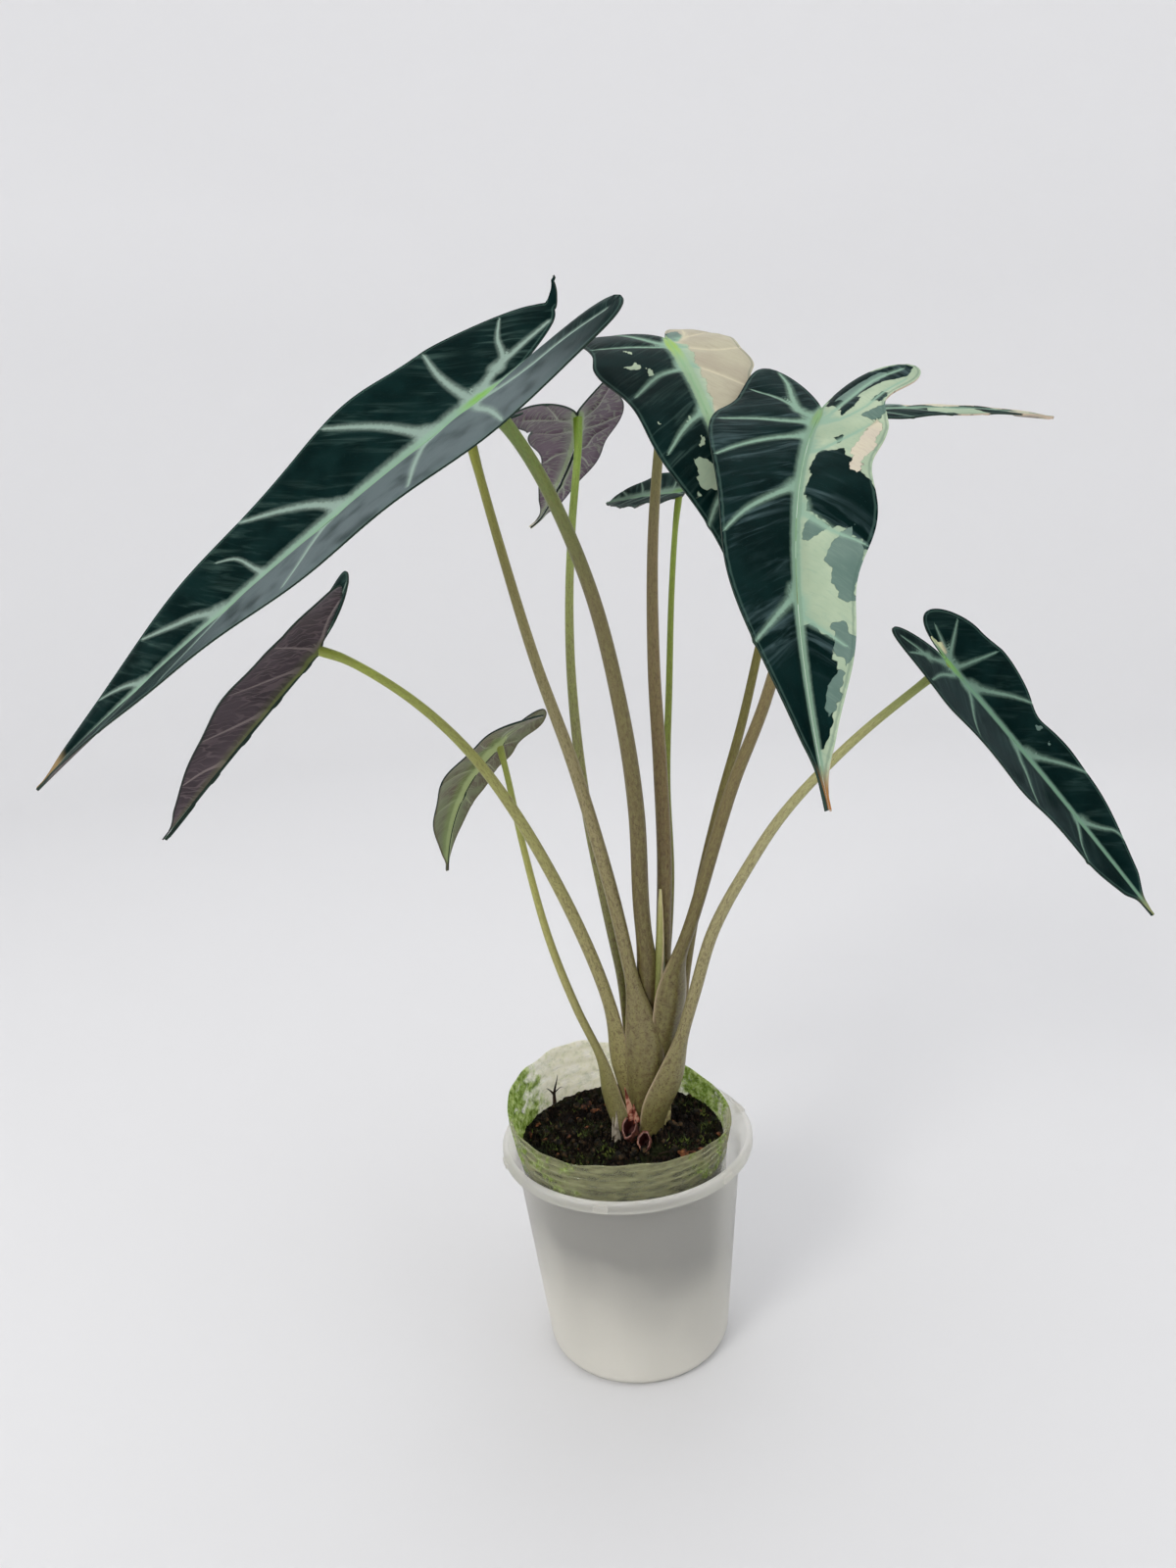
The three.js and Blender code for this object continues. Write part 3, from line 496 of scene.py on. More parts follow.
        "lobe": (37.9, 33.4), "lift": (6.3, -0.8), "splay": (5.6, -1.9), "lobeRound": (3.3, 1.4),
        "sinus": 13.5, "taper": (1.96, 1.15), "scallop": (0.01, 0.05), "bumps": (3.1, 2.2),
        "shift": (0.66, 0.22), "ripple": 1,
        "sheath": {"wide": 4.8, "at": 124, "reach": 34, "faces": -88}, "stalk": 2.8,
        "neck": 1.8, "hook": (1, 7.6, 6.4), "drip": (0.955, 0.35),
        "route": (
            (10, 3, 94), (10.5, 1.6, 118), (11, -1.2, 140), (10, -5.4, 165), (10, -13.3, 201),
            (7, -22.4, 234), (0, -34.5, 272), (-11, -45.8, 303), (-20, -52, 318.5),
        ),
        "veins": (
            (
                (1.2, (0, 0), (-1.9, 3.7), (-9.7, 8.3), (-22.4, 12.8), (-33, 21)),
                (1.2, (1, 0), (3.8, 6.7), (3.8, 17), (5, 27.5)),
                (1.2, (17, 0), (20.5, 3.7), (25.6, 12.7), (30.7, 26)),
                (1.1, (52, 0), (58.9, 9.7), (63, 16), (68, 22)),
                (0.9, (88, 0), (94, 5.5), (101, 10.5), (110, 15)),
                (0.7, (122, 0), (127, 3.5), (133, 6.5), (139, 8.5)),
            ),
            (
                (1.4, (0, 0), (-1, 1.5), (-9.4, 5.5), (-18, 6.9), (-29, 8)),
                (0.8, (-9.4, 5.5), (-12.8, 7.3), (-16.3, 15), (-21, 21)),
                (1.4, (1.5, 0), (2.6, 9), (2.6, 18), (1, 26.5)),
                (1.4, (16.6, 0), (21.7, 9.8), (26.9, 16.9), (39, 28.7)),
                (1.2, (47.3, 0), (52.5, 7.1), (62.7, 14.9), (76, 22)),
                (0.6, (75.5, 0), (78, 5.1), (81.9, 12.2), (88, 16)),
                (1, (92, 0), (99.8, 5.5), (108.7, 9.2), (121, 14)),
                (0.7, (124, 0), (129, 3.5), (136, 6.3), (143, 8.2)),
            ),
        ),
    },
    {
        "name": "leaf_half_cream", "junction": (27.3, -30, 338.2), "tip": (40.2, -101.7, 255.1),
        "face": (0.2, -0.2, 0.95), "roll": 11.4, "twist": -16.4, "bow": 9.8, "sweep": -0.3,
        "half": (21.8, 24.5), "fold": (-3.4, -2.1), "curl": (-3.2, -8.3), "open": (0.21, 0.21),
        "lobe": (28.9, 26.5), "lift": (-7.8, -9.4), "splay": (4.5, 6.8), "lobeRound": (3.18, 1.99),
        "sinus": 6.6, "taper": (1.7, 1.2), "scallop": (0.13, 0.06), "bumps": (3, 2.4), "shift": (0.84, 0),
        "ripple": 0.6, "sheath": {"wide": 4.6, "at": 116, "reach": 36, "faces": 75},
        "stalk": 2.6, "neck": 1.4, "ribScale": 0.85,
        "route": (
            (12, 6, 92), (15, 5.4, 118), (17, 3.2, 146), (19, -0.8, 180), (19, -6, 214),
            (18.5, -11.5, 248), (20, -18.8, 287), (24, -25.4, 320),
        ),
        "veins": (
            (
                (0.9, (0, 0), (-9.5, 6), (-23, 9.5)),
                (0.6, (-6, 4), (-14, 12), (-22, 16.5)),
                (0.8, (1, 0), (3, 10), (0, 20)),
                (0.8, (14, 0), (19, 8), (27, 18)),
                (0.8, (36, 0), (43, 7), (52, 14)),
                (0.7, (62, 0), (69, 5.5), (77, 10)),
                (0.5, (85, 0), (90, 3), (95, 5)),
            ),
            (
                (1, (0, 0), (-1.4, 3), (-9.5, 7.6), (-23, 12)),
                (0.7, (1, 0), (1.6, 3.5), (-0.7, 11.8), (-3, 22)),
                (1, (14.5, 0), (17.5, 1.8), (20.7, 8.3), (31, 17)),
                (0.8, (38, 0), (45, 7), (55, 14)),
                (0.7, (64, 0), (71, 5.5), (79, 10)),
                (0.5, (86, 0), (91, 3), (96, 5)),
            ),
        ),
        "patches": (
            (0, "cream", ((-40, 0.8), (130, 0.8), (130, 40), (-40, 40))),
            (0, "mint", ((-2, 0), (70, 0), (60, 1.8), (34, 2.6), (16, 3.6), (0, 4.6))),
            (0, "grey", ((-13.3, 1.5), (-14.8, 6.5), (-3.0, 3.2), (-3.7, 0.0))),
            (1, "mint", ((57.2, 7.9), (58.0, 5.3), (61.2, 2.3), (65.2, 2.1), (67.6, 4.8), (66.8, 8.2),
                (62.0, 8.6))),
            (1, "mint", ((14.3, 16.3), (12.7, 12.6), (15.9, 12.4), (16.7, 14.8))),
            (1, "mint", ((15.9, 11.2), (18.3, 9.7), (20.7, 10.7), (19.1, 11.5))),
            (1, "mint", ((49.3, 4.5), (50.1, 3.6), (53.3, 4.8), (52.5, 5.3))),
            (1, "mint", ((41.3, 6.1), (42.1, 5.2), (43.7, 6.1))),
            (1, "mint", ((42.9, 15.0), (44.5, 14.0), (45.3, 14.8))),
            (1, "mint", ((66.8, 9.9), (69.2, 9.2), (70.0, 10.1))),
            (1, "mint", ((2.4, 14.8), (4.8, 12.0), (7.2, 12.9))),
        ),
    },
    {
        "name": "leaf_back_left", "junction": (0.6, 40, 329), "tip": (-19, 120.5, 294.7),
        "face": (-0.1, 0.5, 0.85), "roll": -6.7, "twist": 31.6, "bow": 3.2, "sweep": -6.2,
        "half": (20, 21), "fold": (17, 18), "curl": (-38, 8), "open": (0.37, 0.3), "lobe": (23.5, 20.9),
        "lift": (-2.5, -4.6), "splay": (12.4, 12.7), "lobeRound": (2.9, 1.6), "sinus": 2.5,
        "taper": (1.31, 0.93), "scallop": (0.1, 0.08), "bumps": (2.2, 3.2), "shift": (-0.56, -0.5),
        "ripple": 0.7, "sheath": {"wide": 3.4, "at": 112, "reach": 26, "faces": 120},
        "stalk": 2, "neck": 1.3, "drip": (0.9, 0.55), "bends": (((0, 1), 82, 91, -3.0, 3.0),),
        "route": (
            (6, 6, 92), (4.5, 9.5, 112), (2.5, 11.8, 132), (-1, 14, 156), (-6, 18.6, 194), (-8, 24, 235),
            (-7, 28.7, 264), (-4, 33.4, 292), (0, 38, 318),
        ),
        "veins": (
            (
                (0.7, (5, 0), (7, 1.3), (0.6, 8.6), (-12.7, 18.5)),
                (0.6, (2, 0), (5.2, 5.4), (-7.2, 8), (-17, 9.7)),
                (0.6, (12, 0), (14.8, 1.3), (20.6, 8.7), (14.2, 17.5)),
                (0.6, (33, 0), (35.5, 1.2), (40.6, 5.3), (51, 9.5)),
                (0.5, (60, 0), (65, 3), (71, 4.5)),
            ),
            (
                (0.6, (2, 0), (4.5, 1.5), (3.9, 7.3), (-3.8, 12.2), (-10, 16)),
                (0.7, (12, 0), (16, 3), (19.4, 9), (21.5, 18)),
                (0.6, (34, 0), (33.5, 4.8), (26.4, 7.6), (25.2, 13)),
                (0.6, (36, 0), (42, 5), (50, 9.5)),
                (0.5, (60, 0), (65, 3), (71, 4.5)),
            ),
        ),
    },
    {
        "name": "leaf_far_right", "junction": (86.8, 15, 321.1), "tip": (165.5, 39.6, 317.4),
        "face": (0, -0.1, 1), "roll": 6.8, "twist": 4.8, "bow": 2, "sweep": -0.4, "half": (13.5, 13.5),
        "fold": (1, -1), "curl": (-9, -8), "open": (0.2, 0.2), "lobe": (21, 21), "lift": (8, 8),
        "splay": (2, 2), "lobeRound": (2.2, 2.2), "sinus": 5, "taper": (1.9, 1), "scallop": (0.03, 0.03),
        "bumps": (3, 3), "shift": (0.74, 0.15), "ripple": 0.3,
        "sheath": {"wide": 3.4, "at": 108, "reach": 30, "faces": 40}, "stalk": 1.8,
        "neck": 1.2,
        "route": (
            (14, 4, 92), (21, 8.6, 112), (25, 10.4, 134), (31, 11.5, 162), (40, 12, 194), (49, 12.6, 222),
            (61, 13.7, 264), (71, 14.4, 288), (82, 15, 311),
        ),
        "patches": (
            (0, "cream", ((-30, 3), (10, 1), (22, 6), (40, 2), (55, 4), (70, 1), (86, 0), (86, 20),
                (-30, 20))),
            (0, "grey", ((12, 5), (26, 4), (30, 12), (14, 14))),
            (1, "cream", ((-5, 0), (12, 2), (8, 9), (-8, 14), (-22, 12), (-18, 4))),
            (1, "mint", ((30, 3), (48, 2), (52, 9), (40, 11), (28, 8))),
            (1, "cream", ((60, 0), (86, 0), (86, 8), (66, 5))),
        ),
    },
    {
        "name": "leaf_back_small", "junction": (33.7, 35, 300.8), "tip": (10.3, 87.3, 300.8),
        "face": (0, 0, 1), "roll": -18.3, "twist": -17, "bow": 0.5, "sweep": 0.3, "half": (12.6, 11.9),
        "fold": (6, 17), "curl": (-5, 7), "open": (0.19, 0.23), "lobe": (13.7, 13.7), "lift": (1.5, 8),
        "splay": (5, 2), "lobeRound": (2.3, 2.2), "sinus": 4, "taper": (1.96, 1.03),
        "scallop": (0.05, 0.03), "bumps": (3.1, 3), "shift": (0.23, 0.22), "ripple": 0.5,
        "sheath": {"wide": 2.6, "at": 110, "reach": 26, "faces": 80}, "stalk": 1.5, "neck": 1,
        "route": (
            (10, 6, 92), (13, 12, 112), (17.5, 15, 130), (22, 18, 166), (23, 21.7, 202), (26, 25.7, 235),
            (29, 30.2, 267), (32, 34, 290),
        ),
    },
]

blade = {
    "spacing": 0.66,  # of the mesh
    "thick": 0.5,
    "neckWidth": 0.94,
    "neckReach": 0.12,
    "arch": 0.45,
    "tipHalf": 0.4,
    "drip": (0.94, 0.4),
    "pillow": (0.42, 2.6),  # rise between the side veins, and how near to them it begins
    "groove": (0.35, 1.6),  # depth and half width above the midrib
    "sideGroove": (0.1, 1.1),
    "keel": (1.5, 0.45),  # how far the midrib stands out below, at the stalk and at the tip
    "keelWidth": (1.7, 0.8),
    "sideKeel": (0.28, 0.6),
    "rib": (2.3, 0.45),  # half width of the pale midrib on top
    "thread": (0.15, 0.92),  # half width of a lobe's thread by that of the lobe, and how much it thins
    "threadStep": 0.5,
    "threadBend": 3,  # how far before the lobe's end the thread begins to turn
    "wobble": ((0.5, 0.18), 0.9),  # unevenness of a patch's edge, and how soft it is
}


def spineOf(leaf):
    start, end = np.array(leaf["junction"], float), np.array(leaf["tip"], float)
    length = np.linalg.norm(end - start)
    along = (end - start) / length
    face = np.array(leaf["face"], float)
    face = unit(face - along * (face @ along))
    face = turnAbout(face[None], along[None], np.radians([leaf["roll"]]))[0]
    left = np.cross(face, along)
    crown = start + (end - start) * blade["arch"] + face * 2 * leaf["bow"] + left * 2 * leaf["sweep"]
    return {"start": start, "crown": crown, "end": end, "face": face, "length": length}


def spineAt(spine, s):
    s = np.asarray(s, float)
    t = np.maximum(s, 0)[..., None]
    start, crown, end = spine["start"], spine["crown"], spine["end"]
    place = (1 - t) ** 2 * start + 2 * t * (1 - t) * crown + t * t * end
    along = unit((crown - start) * (1 - t) + (end - crown) * t)
    place = place + unit(crown - start) * np.minimum(s, 0)[..., None] * spine["length"]
    up = unit(spine["face"] - along * (along @ spine["face"])[..., None])
    return place, along, up


def hookOf(leaf, i):
    half, reach, bend = leaf.get("hook", (None, 0, 1))
    return (reach, bend) if half == i else (0, 1)


def lobeEdge(leaf, length, i, s, sign):
    q = np.clip(-s * length / leaf["lobe"][i], 0, 1)
    reach = leaf["half"][i] * blade["neckWidth"] * 0.5
    bulge = np.sqrt(np.maximum(1 - q ** leaf["lobeRound"][i], 0))
    thread, _ = hookOf(leaf, i)
    if thread:
        past = np.clip(-s * length / leaf["lobe"][i] - 1, 0, None) * leaf["lobe"][i] / thread
        wide, thinner = blade["thread"]
        bulge = np.maximum(bulge, wide * (1 - thinner * past))
    return reach + leaf["splay"][i] * q ** 1.6 + sign * reach * bulge


def outerEdge(leaf, length, i, s):
    s = np.asarray(s, float)
    f = np.clip(s, 0, 1)
    neck = 1 - (1 - blade["neckWidth"]) * bell(f, blade["neckReach"])
    wave = np.sin(2 * pi * (leaf["bumps"][i] * f - leaf["shift"][i]))
    swell = 1 + leaf["scallop"][i] * wave * np.minimum(f / 0.1, 1)
    front = (1 - f ** leaf["taper"][0]) ** leaf["taper"][1]
    start, less = leaf.get("drip", blade["drip"])
    front = front * (1 - less * smoothStep(f, start - 0.05, start + 0.03))
    wide = np.maximum(leaf["half"][i] * neck * swell * front, blade["tipHalf"])
    for half, at, spread, depth in leaf.get("dents", ()):
        if half == i:
            wide = wide * (1 - depth * bell(f - at, spread))
    return np.where(s >= 0, wide, lobeEdge(leaf, length, i, s, 1))


def innerEdge(leaf, length, i, s):
    q = -s * length / leaf["lobe"][i]
    start = leaf["sinus"] / leaf["lobe"][i]
    on = np.clip((q - start) / (1 - start), 0, 1)
    base = lobeEdge(leaf, length, i, np.array(-leaf["sinus"] / length), -1)
    inner = np.maximum(lobeEdge(leaf, length, i, s, -1) - base * (1 - on) ** 2, 0)
    return np.where(-s * length <= leaf["sinus"] + 1e-4, 0, inner)


def bladePlace(leaf, spine, i, s, across):
    hand = 1 if i == 0 else -1
    place, along, up = spineAt(spine, s)
    up = turnAbout(up, along, np.radians(leaf["twist"]) * np.maximum(s, 0))
    side = np.cross(up, along) * hand
    wide, lobe = leaf["half"][i], leaf["lobe"][i]
    share = across / wide
    fold = np.radians(leaf["fold"][i]) * (1 + leaf["open"][i] * np.maximum(s, 0))
    curl = np.radians(leaf["curl"][i])
    out = wide / curl * (np.sin(fold + curl * share) - np.sin(fold))
    lift = -wide / curl * (np.cos(fold + curl * share) - np.cos(fold))
    back = np.maximum(-s, 0) * spine["length"]
    lift = lift + tan(radians(leaf["lift"][i])) * back * back / lobe
    thread, bend = hookOf(leaf, i)
    if thread:
        # the lobe ends in a thin thread that turns upwards round a small circle
        straight = np.maximum(back - lobe + blade["threadBend"], 0)
        angle = straight / bend
        place = place + along * (straight - bend * np.sin(angle))[..., None]
        lift = lift + bend * (1 - np.cos(angle))
    beat = 2 * pi * (leaf["bumps"][i] * s - leaf["shift"][i] + 0.25)
    lift = lift + leaf["ripple"] * np.minimum(share, 1) ** 2 * np.sin(beat)
    for halves, low, high, rise, shift in leaf.get("bends", ()):
        if i in halves:
            bent = np.clip((s * spine["length"] - low) / (high - low), 0, None) ** 2
            lift, out = lift + rise * bent, out + shift * bent * hand
    return place + side * out[..., None] + up * lift[..., None]


def plainVeins(leaf, length, i):
    # the vein plan of a leaf whose own veins aren't seen
    wide, lobe = leaf["half"][i], leaf["lobe"][i]
    veins = [(0.6, (0, 0), (-0.35 * lobe, 0.22 * wide), (-0.9 * lobe, 0.42 * wide)),
             (0.6, (0, 0), (0.02 * length, 0.4 * wide), (0, 0.9 * wide))]
    for start in (0.09, 0.28, 0.48, 0.68, 0.84):
        reach = float(outerEdge(leaf, length, i, min(start + 0.13, 1.0)))
        veins.append((0.6, (start * length, 0), ((start + 0.055) * length, 0.45 * reach),
                      ((start + 0.14) * length, 0.95 * reach)))
    return veins


def offSegment(x, y, start, end):
    # how far a point is from the nearest one on a segment, and how far along the segment that one lies
    (a, b), (c, d) = start, end
    run = max((c - a) ** 2 + (d - b) ** 2, 1e-6)
    t = np.clip(((x - a) * (c - a) + (y - b) * (d - b)) / run, 0, 1)
    return x - a - t * (c - a), y - b - t * (d - b), t


def veinFields(veins, along, across, steps=13):
    # distance past the nearest side vein's edge, and the place across that vein as a share of its width
    near, side = np.full(len(along), 60.0), np.full(len(along), 9.0)
    for half, *route in veins:
        path = smoothRoute(route, steps + 1)
        for k in range(steps):
            x, y, t = offSegment(along, across, path[k], path[k + 1])
            share = (k + t) / steps
            width = half * (1 - 0.7 * share) + half * 1.7 * bell(share, 0.11)
            away = np.hypot(x, y)
            closer = away - width < near
            near = np.where(closer, away - width, near)
            ahead, left = path[k + 1] - path[k]
            turn = np.where(x * left - y * ahead < 0, -1, 1)
            side = np.where(closer, np.clip(away / width, 0, 8) * turn, side)
    return near, side


def edgeDistance(leaf, length, i, along, across):
    s = np.concatenate([np.linspace(1, 0, 150), np.linspace(0, -1, 60) * leaf["lobe"][i] / length])
    back = np.linspace(-leaf["sinus"], -leaf["lobe"][i], 50) / length
    rim = np.vstack([np.stack([s * length, outerEdge(leaf, length, i, s)], 1),
                     np.stack([back * length, innerEdge(leaf, length, i, back)], 1), [[length, 0]]])
    away = np.full(len(along), 99.0)
    for a, b in rim:
        away = np.minimum(away, np.hypot(along - a, across - b))
    return away


def patchFields(patches, i, along, across):
    # how far inside a patch of each colour every point lies; later patches cover earlier ones
    inside = {kind: np.zeros(len(along)) for kind in ("cream", "mint", "grey")}
    (slow, quick), soft = blade["wobble"]
    x = along + slow * np.sin(across * 0.9 + 0.7 * along) + quick * np.sin(across * 3.1 - along * 1.1)
    y = across + slow * np.sin(along * 0.8 + 1.1 * across) + quick * np.sin(along * 2.7 + across)
    for half, kind, outline in patches:
        if half != i:
            continue
        ring = np.array(outline, float)
        away, odd = np.full(len(along), 99.0), np.zeros(len(along), bool)
        for start, end in zip(ring, np.roll(ring, -1, axis=0)):
            away = np.minimum(away, np.hypot(*offSegment(x, y, start, end)[:2]))
            if start[1] != end[1]:
                cut = (end[0] - start[0]) * (y - start[1]) / (end[1] - start[1]) + start[0]
                odd ^= ((start[1] > y) != (end[1] > y)) & (x < cut)
        cover = np.clip(0.5 + np.where(odd, away, -away) / soft, 0, 1)
        for name in inside:
            inside[name] = inside[name] * (1 - cover) + cover * (name == kind)
    return inside


def leafRows(leaf, length, i, spacing):
    # places along the midrib, from the tip to the end of the lobe
    front = max(int(length / spacing), 20)
    rows = [1 - (j / front) ** 1.05 for j in range(front + 1)]
    web = max(int(leaf["sinus"] / spacing), 2)
    rows += [-leaf["sinus"] / length * (j + 1) / web for j in range(web)]
    lobe = leaf["lobe"][i]
    deep = max(int((max(leaf["lobe"]) - leaf["sinus"]) / spacing), 8)
    start = leaf["sinus"] / lobe
    rows += [-(1 - (1 - start) * (1 - (j + 1) / deep) ** 1.5) * lobe / length for j in range(deep)]
    # the thread has rows of its own, and the other half as many that close on its end
    thread, _ = hookOf(leaf, i)
    more = int(leaf.get("hook", (None, 0))[1] / blade["threadStep"])
    if thread:
        rows += [-(lobe + thread * (j + 1) / more) / length for j in range(more)]
    else:
        rows += [rows[-1] - 1e-7 * (j + 1) for j in range(more)]
    return np.array(rows)


def buildHalf(leaf, spine, i, spacing):
    length, sinus = spine["length"], leaf["sinus"]
    rows = leafRows(leaf, length, i, spacing)
    strips = int(max(leaf["half"]) / spacing)
    bpy.ops.mesh.primitive_grid_add(x_subdivisions=strips, y_subdivisions=len(rows) - 1, size=mm)
    half = bpy.context.object
    flat = readPlaces(half)
    column = np.rint((flat[:, 0] + 0.5) * strips).astype(int)
    row = np.rint((0.5 - flat[:, 1]) * (len(rows) - 1)).astype(int)
    s = rows[row]
    inner, outer = innerEdge(leaf, length, i, s), outerEdge(leaf, length, i, s)
    across = inner + column / strips * (outer - inner)
    along = s * length
    veins = leaf.get("veins", (None, None))[i] or plainVeins(leaf, length, i)
    near, side = veinFields(veins, along, across)
    edge = edgeDistance(leaf, length, i, along, across)
    sheet = np.zeros((len(rows), strips + 1, 3))
    sheet[row, column] = bladePlace(leaf, spine, i, s, across)
    normal = unit(np.cross(np.gradient(sheet, axis=0), np.gradient(sheet, axis=1)))
    normal[-1], normal[0] = normal[-2], normal[1]
    _, _, up = spineAt(spine, rows)
    normal *= np.where((normal * up[:, None, :]).sum(-1, keepdims=True) < 0, -1, 1)
    left = 1 - np.clip(along / length, 0, 1)  # share of the way to the tip that is left

    def between(pair, share):
        return pair[1] + (pair[0] - pair[1]) * share

    ribWide, ribTip = blade["rib"]
    ribWide = (ribWide * leaf.get("ribScale", 1), ribTip)
    rib = across / between(ribWide, left ** 0.8 * np.clip(1 + along / 9, 0.12, 1))
    rise, reach = blade["pillow"]
    rise = rise * (1 - np.exp(-(np.maximum(near + 0.3, 0) / reach) ** 1.5))
    rise *= smoothStep(across, 0.5, 4) * smoothStep(edge, 0, 3)
    rise -= blade["groove"][0] * bell(across, blade["groove"][1]) * smoothStep(along, -sinus - 2, 4)
    rise -= blade["sideGroove"][0] * bell(side, blade["sideGroove"][1])
    keel = between(blade["keel"], left ** 1.3) * bell(across, between(blade["keelWidth"], left))
    keel = keel * smoothStep(along, -sinus - 1, 1)
    keel += blade["sideKeel"][0] * bell(np.maximum(near, 0), blade["sideKeel"][1])
    writePlaces(half, sheet[row, column] + normal[row, column] * rise[:, None])
    hand = 1 if i == 0 else -1
    writeValues(half, along=along, across=across * hand, veinEdge=near, vein=side, edge=edge, rib=rib,
                keel=keel, **(patchFields(leaf["patches"], i, along, across) if "patches" in leaf else {}))
    if i == 1:
        editMesh(half, lambda: bpy.ops.mesh.flip_normals())
    return half


def buildBlade(leaf, skins):
    spine = spineOf(leaf)
    halves = [buildHalf(leaf, spine, i, blade["spacing"] * fine) for i in (0, 1)]
    piece = joinPieces(halves, leaf["name"] + "_blade")
    editMesh(piece, lambda: bpy.ops.mesh.remove_doubles(threshold=0.02 * mm))
    lean = sum((face.normal * face.area for face in piece.data.polygons), Vector())
    if lean @ Vector(spine["face"]) < 0:
        editMesh(piece, lambda: bpy.ops.mesh.flip_normals())
    count = len(piece.data.vertices)
    for skin in skins:
        piece.data.materials.append(skin)
    applyModifier(piece, "SOLIDIFY", thickness=blade["thick"] * mm, offset=0, use_even_offset=False,
                  material_offset=1, material_offset_rim=2)
    # the veins stand out on the lower of the two skins
    places = readPlaces(piece)
    step = unit(places[count:2 * count] - places[:count])
    shell = slice(count, 2 * count)
    if (step @ np.array(spine["face"])).mean() > 0:
        step, shell = -step, slice(0, count)
    places[shell] += step * readValues(piece, "keel")[shell, None]
    writePlaces(piece, places)
    return piece


# Living leaf skin, upper side: velvety dark cells over a pale network of veins
def upperSkin(name, look):
    material, add = newMaterial(name)
    along, across, vein, near, rib, edge = (add("Attribute " + word) for word in leafFields)
    flat = add("CombineXYZ", along, across, look["seed"])
    lean = add("Math MULTIPLY_ADD", add("Math ABSOLUTE", across), -0.95, along)  # follows the side veins
    broad, streaks = (
        add("TexNoise", Scale=1.0, Detail=detail, Roughness=rough, Distortion=bend, Vector=add(
            "CombineXYZ", add("Math MULTIPLY", lean, close), add("Math MULTIPLY", across, wide),
            look["seed"]))
        for close, wide, detail, rough, bend in ((0.36, 0.07, 3.0, 0.6, 0.6), (0.85, 0.3, 4.0, 0.65, 0.8)))
    cloud, speckle, fringe, pores = (
        add("TexNoise", Vector=flat, Scale=scale, Detail=detail, Roughness=rough)
        for scale, detail, rough in ((0.09, 2.0, 0.5), (2.4, 2.0, 0.5), (0.8, 4.0, 0.7), (3.2, 3.0, 0.5)))
    haze = maskOf(add, add("Math ADD", streaks, 0.45), (broad, 0.46, 0.74), (near, 11.0, 0.5))
    haze = add("Math MULTIPLY", add("Math MINIMUM", haze, 1.0), look["haze"])
    base = paint(add, look["dark"], (look["dark2"], 1.0, (cloud, 0.35, 0.7)), (look["hazeColour"], haze),
                 (look["hazeColour"], 0.1, (speckle, 0.62, 0.8)))
    veinTone = look["vein"]
    if look.get("marbled"):
        for kind in ("mint", "grey", "cream"):
            first, second, streak = look[kind]
            tone = paint(add, first, (second, 1.0, (cloud, 0.3, 0.7)), (streak, 0.35, (streaks, 0.45, 0.7)))
            jag = add("Math MULTIPLY_ADD", fringe, 0.26, add("Math SUBTRACT", add("Attribute " + kind), 0.13))
            base = paint(add, base, (tone, 1.0, (jag, 0.38, 0.62)))
        veinTone = add("Mix RGBA", add("Attribute cream"), look["vein"], look["creamVein"])
    # painted sheen: a grey haze painted on the half that lies flatter to the light, standing in for the
    # velvet's sheen seen at a low angle
    hand, paintedSheen, start, end = look["paintedSheen"]
    base = paint(add, base, (
        look["paintedSheenColour"], paintedSheen, (add("Math MULTIPLY", across, hand), -0.5, 3.0),
        (along, start, start + 30), (along, end, end - 45), (cloud, 0.1, 0.55)))
    # side veins: pale, with feathered edges that run out into the dark cells
    fray = add("Math MULTIPLY", add("Math SUBTRACT", fringe, 0.5), 1.5)
    width = add("Math ADD", add("Math ABSOLUTE", vein), fray)
    veinHere = maskOf(add, 1.0, (width, 1.35, 0.35), (near, 0.9, 0.3))
    base = paint(add, base, (veinTone, 0.35, (width, 3.4, 0.8), (near, 1.5, 0.2)),
                 (veinTone, add("Math MULTIPLY", veinHere, look["veinShow"])))
    # midrib: silvery with frayed edges, a greener middle, bright green where the stalk joins; then the
    # margin, a dark rim with a thin pale line just inside, and the tip
    offRib = add("Math ABSOLUTE", rib)
    ribAt = add("Math MULTIPLY_ADD", fray, 0.4, offRib)
    base = paint(
        add, base, (look["vein"], 0.45, (ribAt, 2.0, 0.9)), (look["rib"], 0.85, (ribAt, 1.25, 0.75)),
        (look["joint"], 1.0, (add("Math ABSOLUTE", along), look["jointWide"], 0.5), (ribAt, 1.15, 0.5)),
        (look["ribLine"], 0.4, (offRib, 0.42, 0.1)),
        (look["lineColour"], look["line"], (edge, 0.35, 0.6), (edge, 1.15, 0.75)),
        (look["tip"], 1.0, (along, look["tipFrom"], look["tipFrom"] + 7)))
    relief = add("Math MULTIPLY_ADD", pores, 0.06, add("Math MULTIPLY", streaks, 0.3))
    add("OutputMaterial", add(
        "BsdfPrincipled", base, Roughness=add("MapRange", veinHere, 0.0, 1.0, 0.42, 0.55),
        Normal=add("Bump", Strength=0.4, Distance=0.0006, Height=relief), Specular_IOR_Level=0.01,
        Sheen_Weight=look["sheen"], Sheen_Roughness=0.25, Sheen_Tint=look["sheenColour"]))
    return material


